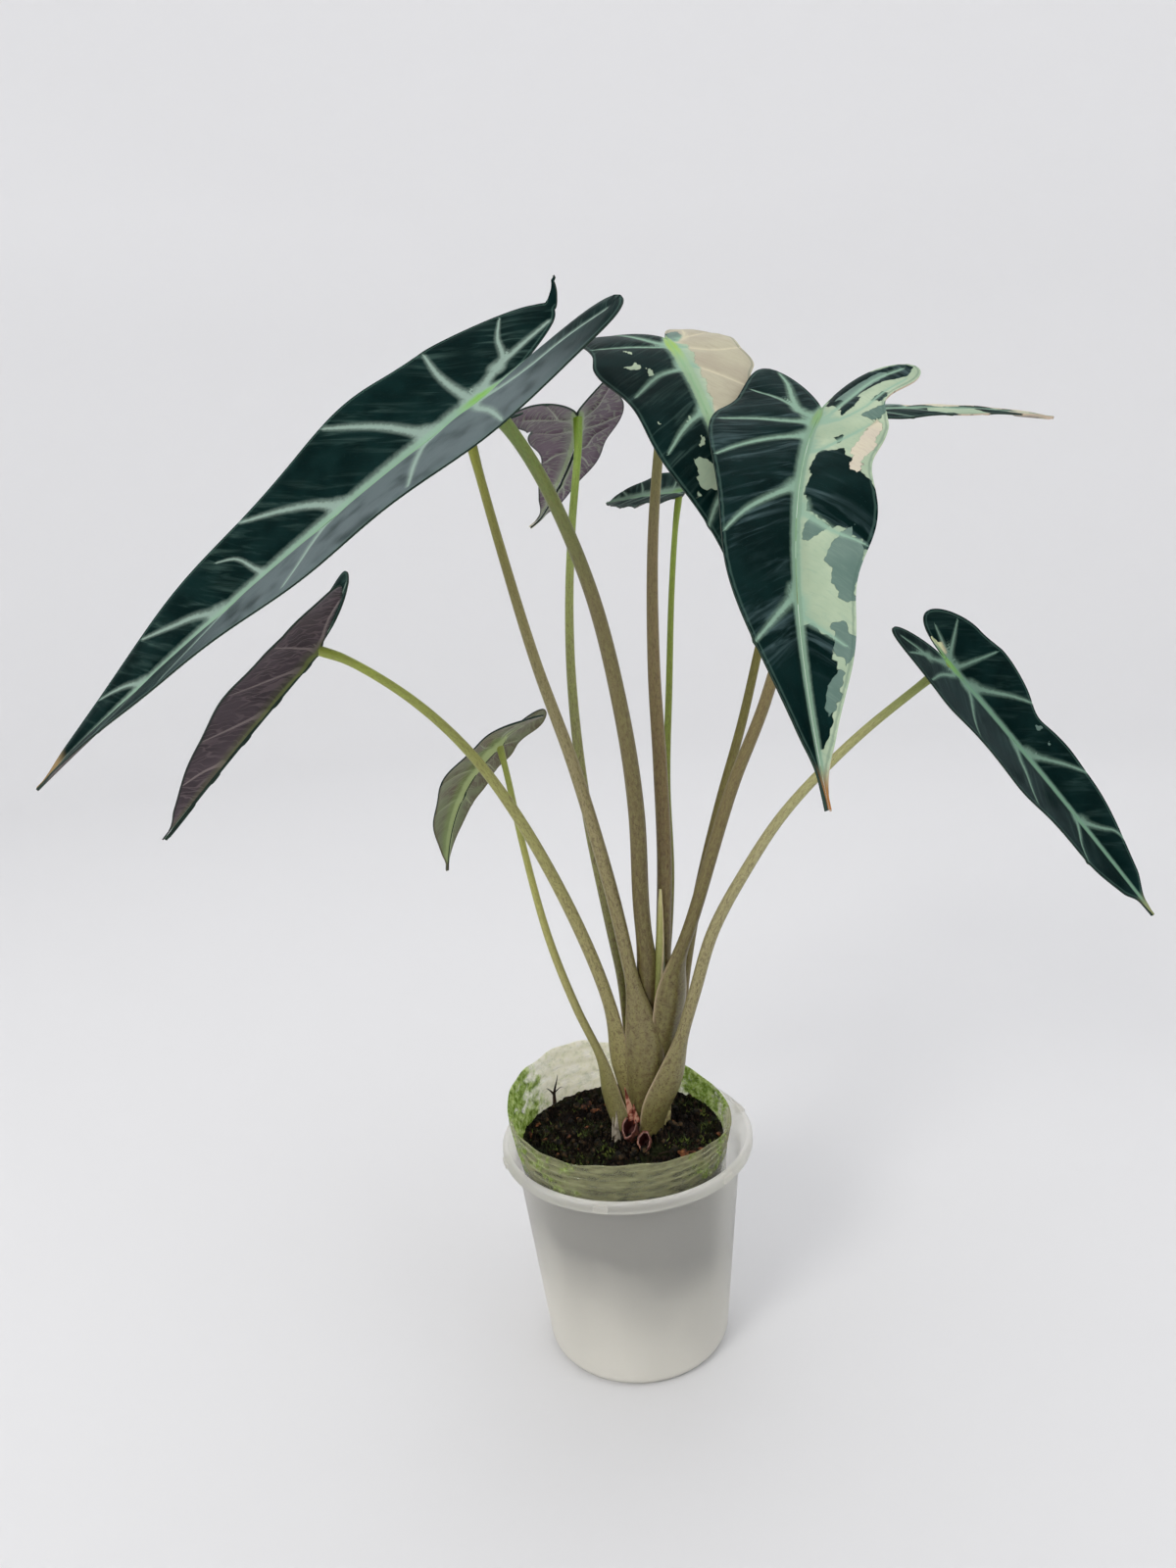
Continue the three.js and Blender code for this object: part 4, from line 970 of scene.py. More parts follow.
# Living leaf skin, underside: satin, mauve where it is dark above, with a raised net of veins
def lowerSkin(name, look):
    material, add = newMaterial(name)
    along, across, vein, near, rib, edge = (add("Attribute " + word) for word in leafFields)
    flat = add("CombineXYZ", along, across, look["seed"])
    lean = add("Math MULTIPLY_ADD", add("Math ABSOLUTE", across), -0.8, along)
    sway = add("TexNoise", Vector=flat, Scale=0.22, Detail=1.0)
    lean = add("Math MULTIPLY_ADD", sway, 2.2, add("Math MULTIPLY", lean, 0.42))
    netPlace = add("CombineXYZ", lean, add("Math MULTIPLY", across, 0.13), look["seed"])
    net = add("TexVoronoi DISTANCE_TO_EDGE", Vector=netPlace, Scale=1.0, Randomness=0.8)
    cloud = add("TexNoise", Vector=flat, Scale=0.13, Detail=3.0)
    netHere = maskOf(add, 1.0, (net, 0.09, 0.01), (cloud, 0.2, 0.6))
    ribAt = add("Math DIVIDE", add("Math ABSOLUTE", rib), look["ribWide"])
    ribAt = add("Math MULTIPLY_ADD", cloud, 0.8, add("Math SUBTRACT", ribAt, 0.4))
    base = paint(
        add, look["dark"], (look["dark2"], 1.0, (cloud, 0.35, 0.68)),
        *((tone, 1.0, (add("Attribute " + kind), 0.35, 0.65)) for kind, tone in look.get("marbled", ())),
        (look["netColour"], add("Math MULTIPLY", netHere, look["net"])),
        (look["vein"], 0.8, (add("Math ABSOLUTE", vein), 1.15, 0.6), (near, 1.0, 0.3)),
        (look["ribEdge"], 0.5, (ribAt, 3.2, 1.0)),
        (look["rib"], 1.0, (ribAt, 1.2, 0.6), (along, look["ribTo"], 5.0)),
        (look["rim"], 1.0, (edge, 0.9, 0.3)),
        (look["tip"], 1.0, (along, look["tipFrom"], look["tipFrom"] + 7)))
    relief = add("Math MULTIPLY_ADD", netHere, 0.5, add("Math MULTIPLY", cloud, 0.1))
    bump = add("Bump", Strength=0.4, Distance=0.0005, Height=relief)
    add("OutputMaterial", add(
        "BsdfPrincipled", base, Roughness=0.42, Normal=bump,
        Specular_IOR_Level=0.18, Sheen_Weight=0.1, Sheen_Roughness=0.5, Sheen_Tint=look["sheenColour"]))
    return material


# Leaf margin: dark and thin, cream where the blade is pale
def rimSkin(name, paleHere):
    material, add = newMaterial(name)
    patches = add("TexNoise", Vector=add("TexCoord").outputs["Object"], Scale=140.0, Detail=2.0)
    base = add("Mix RGBA", patches, "#1c2b26", "#33443a")
    base = paint(add, base, *(("#cbb8a2", add("Attribute " + kind)) for kind in paleHere))
    add("OutputMaterial", add("BsdfPrincipled", base, Roughness=0.5, Specular_IOR_Level=0.1))
    return material


leafFields = ("along", "across", "vein", "veinEdge", "rib", "edge")
darkLook = {
    "seed": 0.0, "dark": "#051a19", "dark2": "#0c2423", "haze": 0.5, "hazeColour": "#486059",
    "vein": "#94aa9e", "veinShow": 0.8, "rib": "#8eac98", "ribLine": "#86b184", "joint": "#7fae5c",
    "line": 0.4, "lineColour": "#4f6a60", "tipFrom": 900.0, "tip": "#9c5a3c", "sheen": 0.02,
    # bloom: side, amount, start and end of the painted sheen, a grey haze painted on one half; none here
    "paintedSheen": (1.0, 0.0, 0.0, 90.0), "paintedSheenColour": "#6a7678", "jointWide": 9.0, "creamVein": "#b8a88e",
    "sheenColour": "#9fb0b4",
}
underLook = {
    "seed": 0.0, "dark": "#4a4045", "dark2": "#3c3438", "net": 0.45, "netColour": "#7a6c6e",
    "vein": "#847876", "rib": "#66703f", "ribEdge": "#55553f", "ribWide": 0.5, "ribTo": 70.0,
    "rim": "#242c28", "tipFrom": 900.0, "tip": "#b8a898", "sheenColour": "#b8a8b0",
}
marbledLook = {  # three tones for each colour: two of the ground, one of the streaks on it
    "marbled": True, "vein": "#8fae9a", "rib": "#84a08c", "mint": ("#a0b298", "#b0bfa4", "#88a492"),
    "grey": ("#6c8279", "#5f776e", "#7c9285"), "cream": ("#c8bfae", "#cfc9b0", "#b8a89a"),
}
marbledUnder = {"marbled": (("mint", "#93a38a"), ("grey", "#6f7872"), ("cream", "#c0b3a2"))}
leafLooks = {  # slot, then what differs from the plain looks above and below
    # bloom below is painted sheen, a grey haze painted on one half of the leaf
    "leaf_front": ("leaf_dark", {"tipFrom": 160.0, "tip": "#96805c", "paintedSheen": (1.0, 0.8, -32.0, 118.0),
                                 "sheen": 0.12}, {"seed": 0.0}),
    "leaf_right": ("leaf_dark", {
        **marbledLook, "haze": 0.3, "paintedSheen": (-1.0, 0.14, -30.0, 90.0), "vein": "#7d9c8a", "rib": "#749a84",
        "tipFrom": 96.0, "tip": "#8f9468", "cream": ("#d8dcae", "#cfd6a4", "#b9c690")}, {"seed": 0.0}),
    "leaf_left": ("leaf_dark", {}, {"tipFrom": 88.0}),
    "leaf_low_left": ("leaf_olive", {}, {
        "dark": "#7f8768", "dark2": "#6c6152", "rib": "#b2c288", "ribEdge": "#8ba35e", "ribWide": 1.1,
        "ribTo": 90.0, "vein": "#a0aa82", "netColour": "#949c78", "rim": "#6d6a50"}),
    "leaf_back_left": ("leaf_dark", {}, {
        "dark": "#655260", "dark2": "#544350", "net": 0.6, "netColour": "#8f9684", "vein": "#9aa08e",
        "rib": "#94a87c", "ribEdge": "#8a9480", "ribWide": 1.0, "ribTo": 120.0, "tipFrom": 84.0,
        "tip": "#cfc6a4"}),
    "leaf_behind_front": ("leaf_dark", {}, {}),
    "leaf_back_small": ("leaf_dark", {"vein": "#7f9888", "rib": "#7f9888", "joint": "#6f9060"}, {}),
    "leaf_front_right": ("leaf_marbled", {
        **marbledLook, "tipFrom": 110.0, "tip": "#a0703e", "haze": 0.6, "hazeColour": "#53696b",
        "joint": "#86a474"}, marbledUnder),
    "leaf_half_cream": ("leaf_marbled", {
        **marbledLook, "rib": "#98b490", "joint": "#98b868", "jointWide": 14.0, "creamVein": "#cbc4aa",
        "cream": ("#aea692", "#b8b39c", "#9f9484")}, marbledUnder),
    "leaf_far_right": ("leaf_marbled", marbledLook, {**marbledUnder, "rim": "#b9b39a"}),
}
for leaf in leaves:
    name = leaf["name"]
    slot, above, below = leafLooks[name]
    seed = {"seed": float(list(leafLooks).index(name) + 1)}
    skins = [upperSkin(f"velvet_leaf_skin_{name}", {**darkLook, **seed, **above}),
             lowerSkin(f"satin_leaf_underside_{name}", {**underLook, **seed, **below}),
             rimSkin(f"leaf_margin_{name}", ("mint", "cream") if slot == "leaf_marbled" else ())]
    finishPiece(buildBlade(leaf, skins), [name], angle=60)
print("blades built")


# Stalks with the sheaths at their feet
stalkForm = {
    "sides": 32, "step": 1.3, "sink": 0.7,  # sink: how far the end goes below the blade's middle
    "thin": 0.55, "sharp": 0.75, "flat": 0.35,  # depth of a sheath by its width, its sharp edges, flat inside
    "collar": 0.22, "groove": (0.12, 0.35), "ridges": (9, 0.012), "wing": 30,  # how narrow its pale edge is
    "skirts": {  # how each sheath runs on down over the stem: half width at the foot, and points
        "leaf_low_left": (4.8, ((-0.2, -2.2, 77), (-1.4, -1.6, 83))),
        "leaf_right": (4.8, ((7.6, -4.6, 77), (9, -5.6, 84), (11, -6.4, 92))),
        "leaf_left": (5.4, ((1.6, -1.6, 78), (2, -1, 84))),
        "leaf_behind_front": (6, ((6, -3.4, 78), (6.6, -3.4, 84))),
        "leaf_front_right": (3.8, ((11.2, 0.8, 76), (12.8, 0.7, 85))),
        "leaf_front": (3.6, ((10, 3, 88),)),
        "leaf_half_cream": (4.4, ((12.2, 8, 78), (12.6, 7.6, 84))),
        "leaf_back_left": (5, ((4.6, 7.8, 78), (5, 7.4, 84))),
        "leaf_far_right": (3.8, ((13, 5.4, 78), (14, 5, 84))),
        "leaf_back_small": (4.2, ((9.4, 9.6, 78), (9.6, 9, 84))),
    },
}


def routeFrame(path, across):
    along = unit(np.gradient(path, axis=0))
    side = unit(across - along * (along @ across)[:, None])
    return side, np.cross(side, along)


def bentRod(name, path, basis, sides, section):
    # a cylinder cut into rings and bent along the path; section gives its outline at each ring
    steps = len(path) - 1
    bpy.ops.mesh.primitive_cylinder_add(vertices=sides, radius=mm, depth=mm, end_fill_type="NGON")
    rod = namedPiece(name)
    editMesh(rod, lambda: bpy.ops.mesh.select_mode(type="EDGE"),
             lambda: selectWhere("edges", lambda edge, ends: abs(ends[0].z - ends[1].z) > 0.5 * mm),
             lambda: bpy.ops.mesh.subdivide(number_cuts=steps - 1),
             lambda: bpy.ops.mesh.select_mode(type="VERT"))
    flat = readPlaces(rod)
    ring = np.rint((flat[:, 2] + 0.5) * steps).astype(int)
    angle = np.arctan2(flat[:, 1], flat[:, 0])
    side, out = basis
    x, y = section(ring / steps, path[ring], angle)
    writePlaces(rod, path[ring] + side[ring] * x[:, None] + out[ring] * y[:, None])
    writeValues(rod, reach=routeReach(path)[ring], share=ring / steps, turn=angle)
    return rod


def buildStalk(leaf):
    form, sheath = stalkForm, leaf["sheath"]
    place, _, up = spineAt(spineOf(leaf), 0.0)
    foot, skirt = form["skirts"][leaf["name"]]
    points = [*skirt, *leaf["route"], place - up * form["sink"]]
    length = sum(np.linalg.norm(np.subtract(b, a)) for a, b in zip(points, points[1:]))
    path = smoothRoute(points, int(length / (form["step"] * fine)))
    bearing = radians(sheath["faces"])
    basis = routeFrame(path, np.array([-sin(bearing), cos(bearing), 0]))
    outward = 1 if basis[1][len(path) // 6] @ np.array([cos(bearing), sin(bearing), 0]) > 0 else -1
    at, low = sheath["at"], points[0][2]

    def section(share, middle, angle):
        z = middle[:, 2]
        plain = leaf["stalk"] + (leaf["neck"] - leaf["stalk"]) * smoothStep(share, 0.3, 1)
        plain = plain * (1 + form["collar"] * smoothStep(share, 0.94, 0.99))
        above = 1 - smoothStep(z, at, at + sheath["reach"])
        half = np.where(z < at, foot + (sheath["wide"] - foot) * smoothStep(z, low, at),
                        plain + (sheath["wide"] - plain) * above)
        deep = plain + (np.maximum(half * form["thin"], plain) - plain) * above
        s = np.sin(angle) * outward
        y = np.sign(s) * np.abs(s) ** (1 + form["sharp"] * above)
        y = np.where(s < 0, y * (1 - form["flat"] * above), y)
        groove = form["groove"][0] * bell(angle + outward * pi / 2, form["groove"][1]) * (1 - above)
        ridges = 1 + form["ridges"][1] * np.sin(form["ridges"][0] * angle) - groove
        return half * np.cos(angle) * ridges, outward * deep * y * ridges

    rod = bentRod(leaf["name"].replace("leaf", "stalk") + "_rod", path, basis, form["sides"], section)
    above = 1 - smoothStep(readPlaces(rod)[:, 2], at, at + sheath["reach"])
    writeValues(rod, wing=np.abs(np.cos(readValues(rod, "turn"))) ** form["wing"] * above)
    cleanNormals(rod)
    return rod


# Living stalk: smooth, waxy, faintly striped, with brown mottling low down
def stalkSkin(name, look):
    material, add = newMaterial(name)
    share, turn, reach, wing = (add("Attribute " + word) for word in ("share", "turn", "reach", "wing"))
    x, y = add("Math COSINE", turn), add("Math SINE", turn)
    around = add("CombineXYZ", x, y, add("Math MULTIPLY", reach, 0.09))
    dots = add("CombineXYZ", add("Math MULTIPLY", x, 2.0), add("Math MULTIPLY", y, 2.0),
               add("Math MULTIPLY", reach, 0.34))
    stripes = add("TexNoise", Vector=around, Scale=4.5, Detail=3.0)
    mottle = add("TexNoise", Vector=dots, Scale=1.6, Detail=4.0, Roughness=0.65)
    flecks = add("TexNoise", Vector=dots, Scale=4.5, Detail=3.0, Roughness=0.7)
    lessAbove = add("MapRange", share, 0.95, 0.35, 0.35, 1.0)
    base = paint(
        add, add("ValToRGB", share, stops=look["along"]), (look["stripe"], 0.4, (stripes, 0.35, 0.7)),
        (look["spot"], add("Math MULTIPLY", lessAbove, look["mottle"]), (mottle, 0.47, 0.68)),
        (look["fleck"], add("Math MULTIPLY", lessAbove, 0.75), (flecks, 0.53, 0.66)),
        (look["wing"], add("Math MULTIPLY", wing, 0.75)))
    bump = add("Bump", Strength=0.3, Distance=0.0004, Height=stripes)
    add("OutputMaterial", add(
        "BsdfPrincipled", base, Roughness=0.38, Normal=bump, Specular_IOR_Level=0.4,
        Subsurface_Weight=0.06, Subsurface_Radius=(0.002, 0.0025, 0.001), Subsurface_Scale=1.0))
    return material


plainStalk = {
    "along": ((0.0, "#8a8050"), (0.07, "#71683e"), (0.35, "#6c6038"), (0.7, "#73702f"), (1.0, "#7d9c3a")),
    "stripe": "#8c8850", "mottle": 0.7, "spot": "#57432c", "fleck": "#43301f", "wing": "#cdb49c",
}
stalkLooks = {  # what differs from the plain one; along: colours from the foot up
    "leaf_front": {"along": (
        (0.0, "#8a8050"), (0.07, "#574c2c"), (0.4, "#685d38"), (0.75, "#7a7048"), (1.0, "#7fa04c"))},
    "leaf_left": {"along": (
        (0.0, "#8f8252"), (0.07, "#877d50"), (0.35, "#9c9464"), (0.65, "#a6a662"), (0.9, "#a8b452"),
        (1.0, "#a2b24a"))},
    "leaf_low_left": {"mottle": 0.3, "along": (
        (0.0, "#7f7850"), (0.12, "#7e784c"), (0.4, "#a8a268"), (0.7, "#b4b464"), (1.0, "#a4b450"))},
    "leaf_back_left": {"stripe": "#a0b050", "along": (
        (0.0, "#8a8050"), (0.1, "#6a6238"), (0.5, "#908b62"), (0.75, "#a0a668"), (1.0, "#80a82c"))},
    "leaf_back_small": {"along": ((0.0, "#8a8050"), (0.3, "#6f6c34"), (0.6, "#84923a"), (1.0, "#94b044"))},
    "leaf_half_cream": {"along": (
        (0.0, "#8a8050"), (0.1, "#6f643c"), (0.5, "#7a6642"), (0.8, "#8b7c56"), (1.0, "#84924a"))},
    "leaf_right": {"along": (
        (0.0, "#8f8450"), (0.05, "#70683f"), (0.3, "#988f68"), (0.6, "#aea87c"), (0.85, "#acae72"),
        (1.0, "#9bb058"))},
    "leaf_front_right": {"along": (
        (0.0, "#8a8050"), (0.1, "#6b6440"), (0.35, "#6e643c"), (0.7, "#7c6c46"), (1.0, "#8a8a58"))},
    "leaf_behind_front": {"along": (
        (0.0, "#948a58"), (0.05, "#685f3a"), (0.3, "#887e58"), (0.6, "#a3986f"), (0.8, "#99915c"),
        (1.0, "#8f9838"))},
}
for leaf in leaves:
    rod = buildStalk(leaf)
    name = leaf["name"].replace("leaf", "stalk")
    skin = stalkSkin(f"waxy_{name}", {**plainStalk, **stalkLooks.get(leaf["name"], {})})
    finishPiece(rod, [name], [skin], 50)
print("stalks built")

# Furled new leaf
shoot = {
    "route": ((11, 1, 104), (14, -1, 126), (15.6, -2.3, 148), (16.9, -2.7, 170)), "radius": 2.1, "tip": 0.4,
    "lip": 0.22, "lipAt": 2.4, "lipTurn": 2.2,  # edge of the rolled blade
    "look": {"mottle": 0.2, "along": (
        (0.0, "#6d6a3c"), (0.6, "#848a48"), (0.85, "#b3b070"), (1.0, "#e4dca0"))},
}


def pastLip(share, angle):
    return angle - shoot["lipAt"] + shoot["lipTurn"] * share


def shootSection(share, middle, angle):
    size = shoot["radius"] * (1 - share ** 3) + shoot["tip"] * share ** 3
    size = size * (1 + shoot["lip"] * bell(pastLip(share, angle), 0.16))
    return size * np.cos(angle), size * np.sin(angle)


path = smoothRoute(shoot["route"], 60)
furled = bentRod("new_shoot_furled", path, routeFrame(path, np.array([1.0, 0, 0])), 32, shootSection)
writeValues(furled, wing=bell(pastLip(readValues(furled, "share"), readValues(furled, "turn")), 0.2))
cleanNormals(furled)
finishPiece(furled, ["new_shoot"], [stalkSkin("waxy_new_leaf", {**plainStalk, **shoot["look"]})], 50)

# Stem
stem = {
    "at": (8, 1.5), "sides": 40,
    "profile": ((6.3, 60), (6.5, 68), (7.6, 78), (8, 82), (7.8, 86), (6.6, 91), (4.8, 95), (2.6, 97)),
}


def turnedPiece(name, profile, sides, centre=(0, 0)):
    # a circle extruded upwards and resized ring by ring, as on a lathe
    radius, height = profile[0]
    bpy.ops.mesh.primitive_circle_add(vertices=sides, radius=radius * mm,
                                      location=[v * mm for v in (*centre, height)])
    piece = namedPiece(name)

    def grow():
        for (before, low), (wide, high) in zip(profile, profile[1:]):
            bpy.ops.mesh.extrude_edges_move(TRANSFORM_OT_translate={"value": (0, 0, (high - low) * mm)})
            bpy.ops.transform.resize(value=(wide / before, wide / before, 1))

    editMesh(piece, grow)
    settle(piece)
    deselectAll()
    return piece


def closeEnds(piece):
    editMesh(piece, lambda: bpy.ops.mesh.select_all(action="DESELECT"),
             lambda: bpy.ops.mesh.select_non_manifold(), lambda: bpy.ops.mesh.edge_face_add())
    cleanNormals(piece)


def buildCrown():
    crown = turnedPiece("stem_crown", smoothRoute(stem["profile"], 26).tolist(), stem["sides"], stem["at"])
    places = readPlaces(crown)
    away, z = places[:, :2] - np.array(stem["at"]), places[:, 2]
    angle = np.arctan2(away[:, 1], away[:, 0])
    scar = 0.35 * np.sin(z * 2.1 + 1.4 * np.sin(angle * 2)) + 0.3 * np.sin(angle * 5 + z * 0.3)
    places[:, :2] += unit(away) * scar[:, None]
    writePlaces(crown, places)
    writeValues(crown, height=z)
    closeEnds(crown)
    return crown


def crownSkin():
    # Fleshy stem with leaf scars: pale green yellow, brown in the scars
    material, add = newMaterial("fleshy_stem")
    patches = add("TexNoise", Vector=add("TexCoord").outputs["Object"], Scale=260.0, Detail=4.0)
    tone = add("ValToRGB", add("MapRange", add("Attribute height"), 76.0, 90.0), stops=(
        (0.0, "#5a4030"), (0.35, "#8f8256"), (0.7, "#a9a06c"), (1.0, "#8f8660")))
    base = add("Mix RGBA", add("MapRange", patches, 0.55, 0.75), tone, "#7a5a3e")
    add("OutputMaterial", add("BsdfPrincipled", base, Roughness=0.5, Normal=add(
        "Bump", Strength=0.4, Distance=0.0006, Height=patches)))
    return material


finishPiece(buildCrown(), ["stem"], [crownSkin()])

# Old stalk stubs: dry, hollow, red brown
stubForm = {
    "outer": 20, "inner": 9, "sides": 30,  # rings up the outside and down the inside
    "wall": 0.5, "deep": 0.45, "thicker": 0.3, "narrow": 0.8, "point": 0.28,
    "stubs": (((3.5, -3, 77), (0.6, -10.4, 87), 3.3), ((7.5, -6, 74), (5.4, -15.4, 84), 2.9)),  # ends, radius
}


def buildHusk(n, start, end, radius):
    start, end = np.array(start, float), np.array(end, float)
    rings = [(t, radius * (1 + 0.05 * sin(7 * t))) for t in np.linspace(0, 1, stubForm["outer"])]
    rings += [(1 - stubForm["deep"] * t, (radius - stubForm["wall"]) * (1 - stubForm["thicker"] * t * t))
              for t in np.linspace(0.02, 1, stubForm["inner"])]
    path = np.array([start + (end - start) * t for t, _ in rings])
    size = np.array([wide for _, wide in rings])
    # the path turns back on itself inside the mouth, so the basis is the stub's own
    axis = unit(end - start)
    side = unit(np.cross(axis, np.array([0, 0, 1.0])))
    basis = [np.broadcast_to(way, path.shape) for way in (side, np.cross(side, axis))]

    def section(share, middle, angle):
        # narrow, with a pointed upper end
        here = size[np.rint(share * (len(rings) - 1)).astype(int)]
        here = here * (1 + 0.05 * np.sin(3 * angle + n) + 0.03 * np.sin(8 * angle + 4 * n))
        point = stubForm["point"] * np.sin(angle) ** 5
        return here * stubForm["narrow"] * np.cos(angle), here * (np.sin(angle) + point)

    husk = bentRod(f"old_stalk_stub_{n + 1}_husk", path, basis, stubForm["sides"], section)
    ring, angle = np.rint(readValues(husk, "share") * (len(rings) - 1)), readValues(husk, "turn")
    ragged = np.abs(0.5 * np.sin(4 * angle + n) + 0.3 * np.sin(9 * angle))
    ragged = np.where(np.abs(ring - stubForm["outer"]) < 2, ragged, 0)
    writePlaces(husk, readPlaces(husk) - axis * ragged[:, None])
    writeValues(husk, mouth=np.clip((ring - stubForm["outer"] + 3) / 4.0, 0, 2))
    cleanNormals(husk)
    return husk


def stubSkin():
    # Dried stalk tissue: fibrous, with a pale lip and a dark mouth
    material, add = newMaterial("dried_stalk_tissue")
    fibre = add("Mapping", Vector=add("TexCoord").outputs["Object"], Scale=(900.0, 200.0, 200.0))
    grain = add("TexNoise", Vector=fibre, Scale=1.0, Detail=4.0)
    mouth = add("Attribute mouth")
    base = add("ValToRGB", grain, stops=((0.3, "#3c1c16"), (0.5, "#6a3a2e"), (0.7, "#96664e")))
    for low, high, tone in ((0.6, 0.85, "#b8948a"), (0.85, 1.1, "#4a1a14")):
        base = add("Mix RGBA", add("MapRange", mouth, low, high), base, tone)
    add("OutputMaterial", add("BsdfPrincipled", base, Roughness=0.7, Normal=add(
        "Bump", Strength=0.5, Distance=0.0005, Height=grain)))
    return material


driedTissue = stubSkin()
for n, (start, end, radius) in enumerate(stubForm["stubs"]):
    finishPiece(buildHusk(n, start, end, radius), [f"old_stalk_stub_{n + 1}"], [driedTissue])
print("stem, stubs and shoot built")

# Pot shape: outside radius at a height, then the lean and the uneven cut rim
pot = {
    "heights": (28, 73, 91.5), "radii": (31.4, 36.8, 39.4),  # floor, waist, rim
    "wall": 0.8, "floor": 1.2, "sides": 144, "lean": (-2.2, -1.8), "cutFrom": 80,
    "ribs": (0.35, 79, 3.1), "rimTilt": (4.8, 150), "rimRoll": (2.4, 112),  # amount, and where or how often
    "ribsFrom": (78.5, 80), "raggedFrom": 84, "ragged": ((0.35, 7, 0), (0.25, 17, 1)), "thin": 0.55,
}
potFoot, potWaist, potRim = pot["heights"]


def potRadius(z):
    return np.interp(z, pot["heights"], pot["radii"])


def potLean(places):
    bearing = np.arctan2(places[:, 1], places[:, 0])
    share = (places[:, 2] - potFoot) / (potRim - potFoot)
    cut = np.maximum((places[:, 2] - pot["cutFrom"]) / (potRim - pot["cutFrom"]), 0)
    (tilt, tiltTo), (roll, rollTo) = pot["rimTilt"], pot["rimRoll"]
    rise = tilt * np.cos(bearing - radians(tiltTo)) + roll * np.cos(2 * (bearing - radians(rollTo)))
    return places + np.stack([pot["lean"][0] * share, pot["lean"][1] * share, cut * rise], 1)


# Soil
soil = {
    "level": 78.3, "mound": (4.6, 15), "lump": 1.0, "crumb": 1.2, "gap": 0.3, "foot": 1.2,
    "segments": 230, "rings": 170, "ground": 0.6, "floor": 0.9,  # shares of the ball where they meet the side
    "rim": (0.57, 0.4), "dent": (0.45, 1.6),  # flatter close to the pot; hollows in the side
}


def soilTop(x, y):
    height, spread = soil["mound"]
    away = np.hypot(x - stem["at"][0], y - stem["at"][1])
    lumps = np.sin(x * 0.61 + 1.3) * np.cos(y * 0.53 - 0.4) + 0.6 * np.sin(x * 0.27 - y * 0.83)
    return height * bell(away, spread) + soil["lump"] * lumps


def crumbs(x, y, z=0.0):
    return (np.sin(x * 1.9 + 1.7 * np.sin(y * 1.6 + z)) * np.sin(y * 1.7 + 1.3 * np.sin(x * 1.4 - z))
            + 0.6 * np.sin(x * 4.1 + 2.1 * np.sin(y * 3.7)) * np.sin(y * 4.6 + 1.9 * np.sin(x * 3.9 + z))
            + 0.4 * np.sin(x * 8.1 + y * 6.7 + z * 5) * np.sin(y * 7.3 - x * 5.1 + z * 7))


def buildSoil():
    # a ball whose upper part becomes the ground, its middle the side and its foot the floor
    bpy.ops.mesh.primitive_uv_sphere_add(segments=int(soil["segments"] / fine),
                                         ring_count=int(soil["rings"] / fine), radius=1)
    bed = namedPiece("soil_bed")
    flat = readPlaces(bed) * mm
    share = np.arccos(np.clip(flat[:, 2], -1, 1)) / pi
    angle = np.arctan2(flat[:, 1], flat[:, 0])
    floor = potFoot + pot["floor"] + soil["gap"]
    ground, bottom = soil["ground"], soil["floor"]
    top, under = share <= ground, share >= bottom
    z = soil["level"] + (floor - soil["level"]) * np.clip((share - ground) / (bottom - ground), 0, 1)
    radius = (potRadius(z) - pot["wall"] - soil["gap"]) * np.where(top, share / ground, 1)
    radius = (radius - np.where(under, soil["foot"], 0)) * np.where(under, (1 - share) / (1 - bottom), 1)
    places = potLean(np.stack([radius * np.cos(angle), radius * np.sin(angle), z], 1))
    x, y = places[:, 0], places[:, 1]
    grain = np.where(top, crumbs(x, y), crumbs(angle * 30, places[:, 2]))
    (nearRim, flatter), (depth, start) = soil["rim"], soil["dent"]
    rim = np.where(share > nearRim, flatter, 1)
    heap = soilTop(x, y) * rim + soil["crumb"] * rim * grain
    places[:, 2] = np.where(top, soil["level"] + heap, places[:, 2])
    dent = np.where(top | under, 0, np.minimum(depth * (grain - start), 0))
    places[:, :2] += dent[:, None] * np.stack([np.cos(angle), np.sin(angle)], 1)
    writePlaces(bed, places)
    writeValues(bed, crumb=grain)
    cleanNormals(bed)
    return bed


def peatSkin():
    # Damp peat mix: nearly black, brown fibres, some green algae in the hollows
    material, add = newMaterial("damp_peat_mix")
    place = add("TexCoord").outputs["Object"]
    grain = add("TexNoise", Vector=place, Scale=900.0, Detail=5.0)
    patches = add("TexNoise", Vector=place, Scale=90.0, Detail=3.0)
    base = add("ValToRGB", grain, stops=(
        (0.4, "#060403"), (0.55, "#150e09"), (0.66, "#33241a"), (0.8, "#6a4c30")))
    base = add("Mix RGBA", add("MapRange", patches, 0.52, 0.66, 0.0, 0.7), base, "#232b10")
    base = add("Mix RGBA", add("MapRange", add("Attribute crumb"), 0.5, 1.6, 0.0, 0.55), base, "#40331f")
    add("OutputMaterial", add("BsdfPrincipled", base, Roughness=0.8, Specular_IOR_Level=0.15, Normal=add(
        "Bump", Strength=0.9, Distance=0.001, Height=grain)))
    return material


finishPiece(buildSoil(), ["soil"], [peatSkin()], 60)
print("soil built")

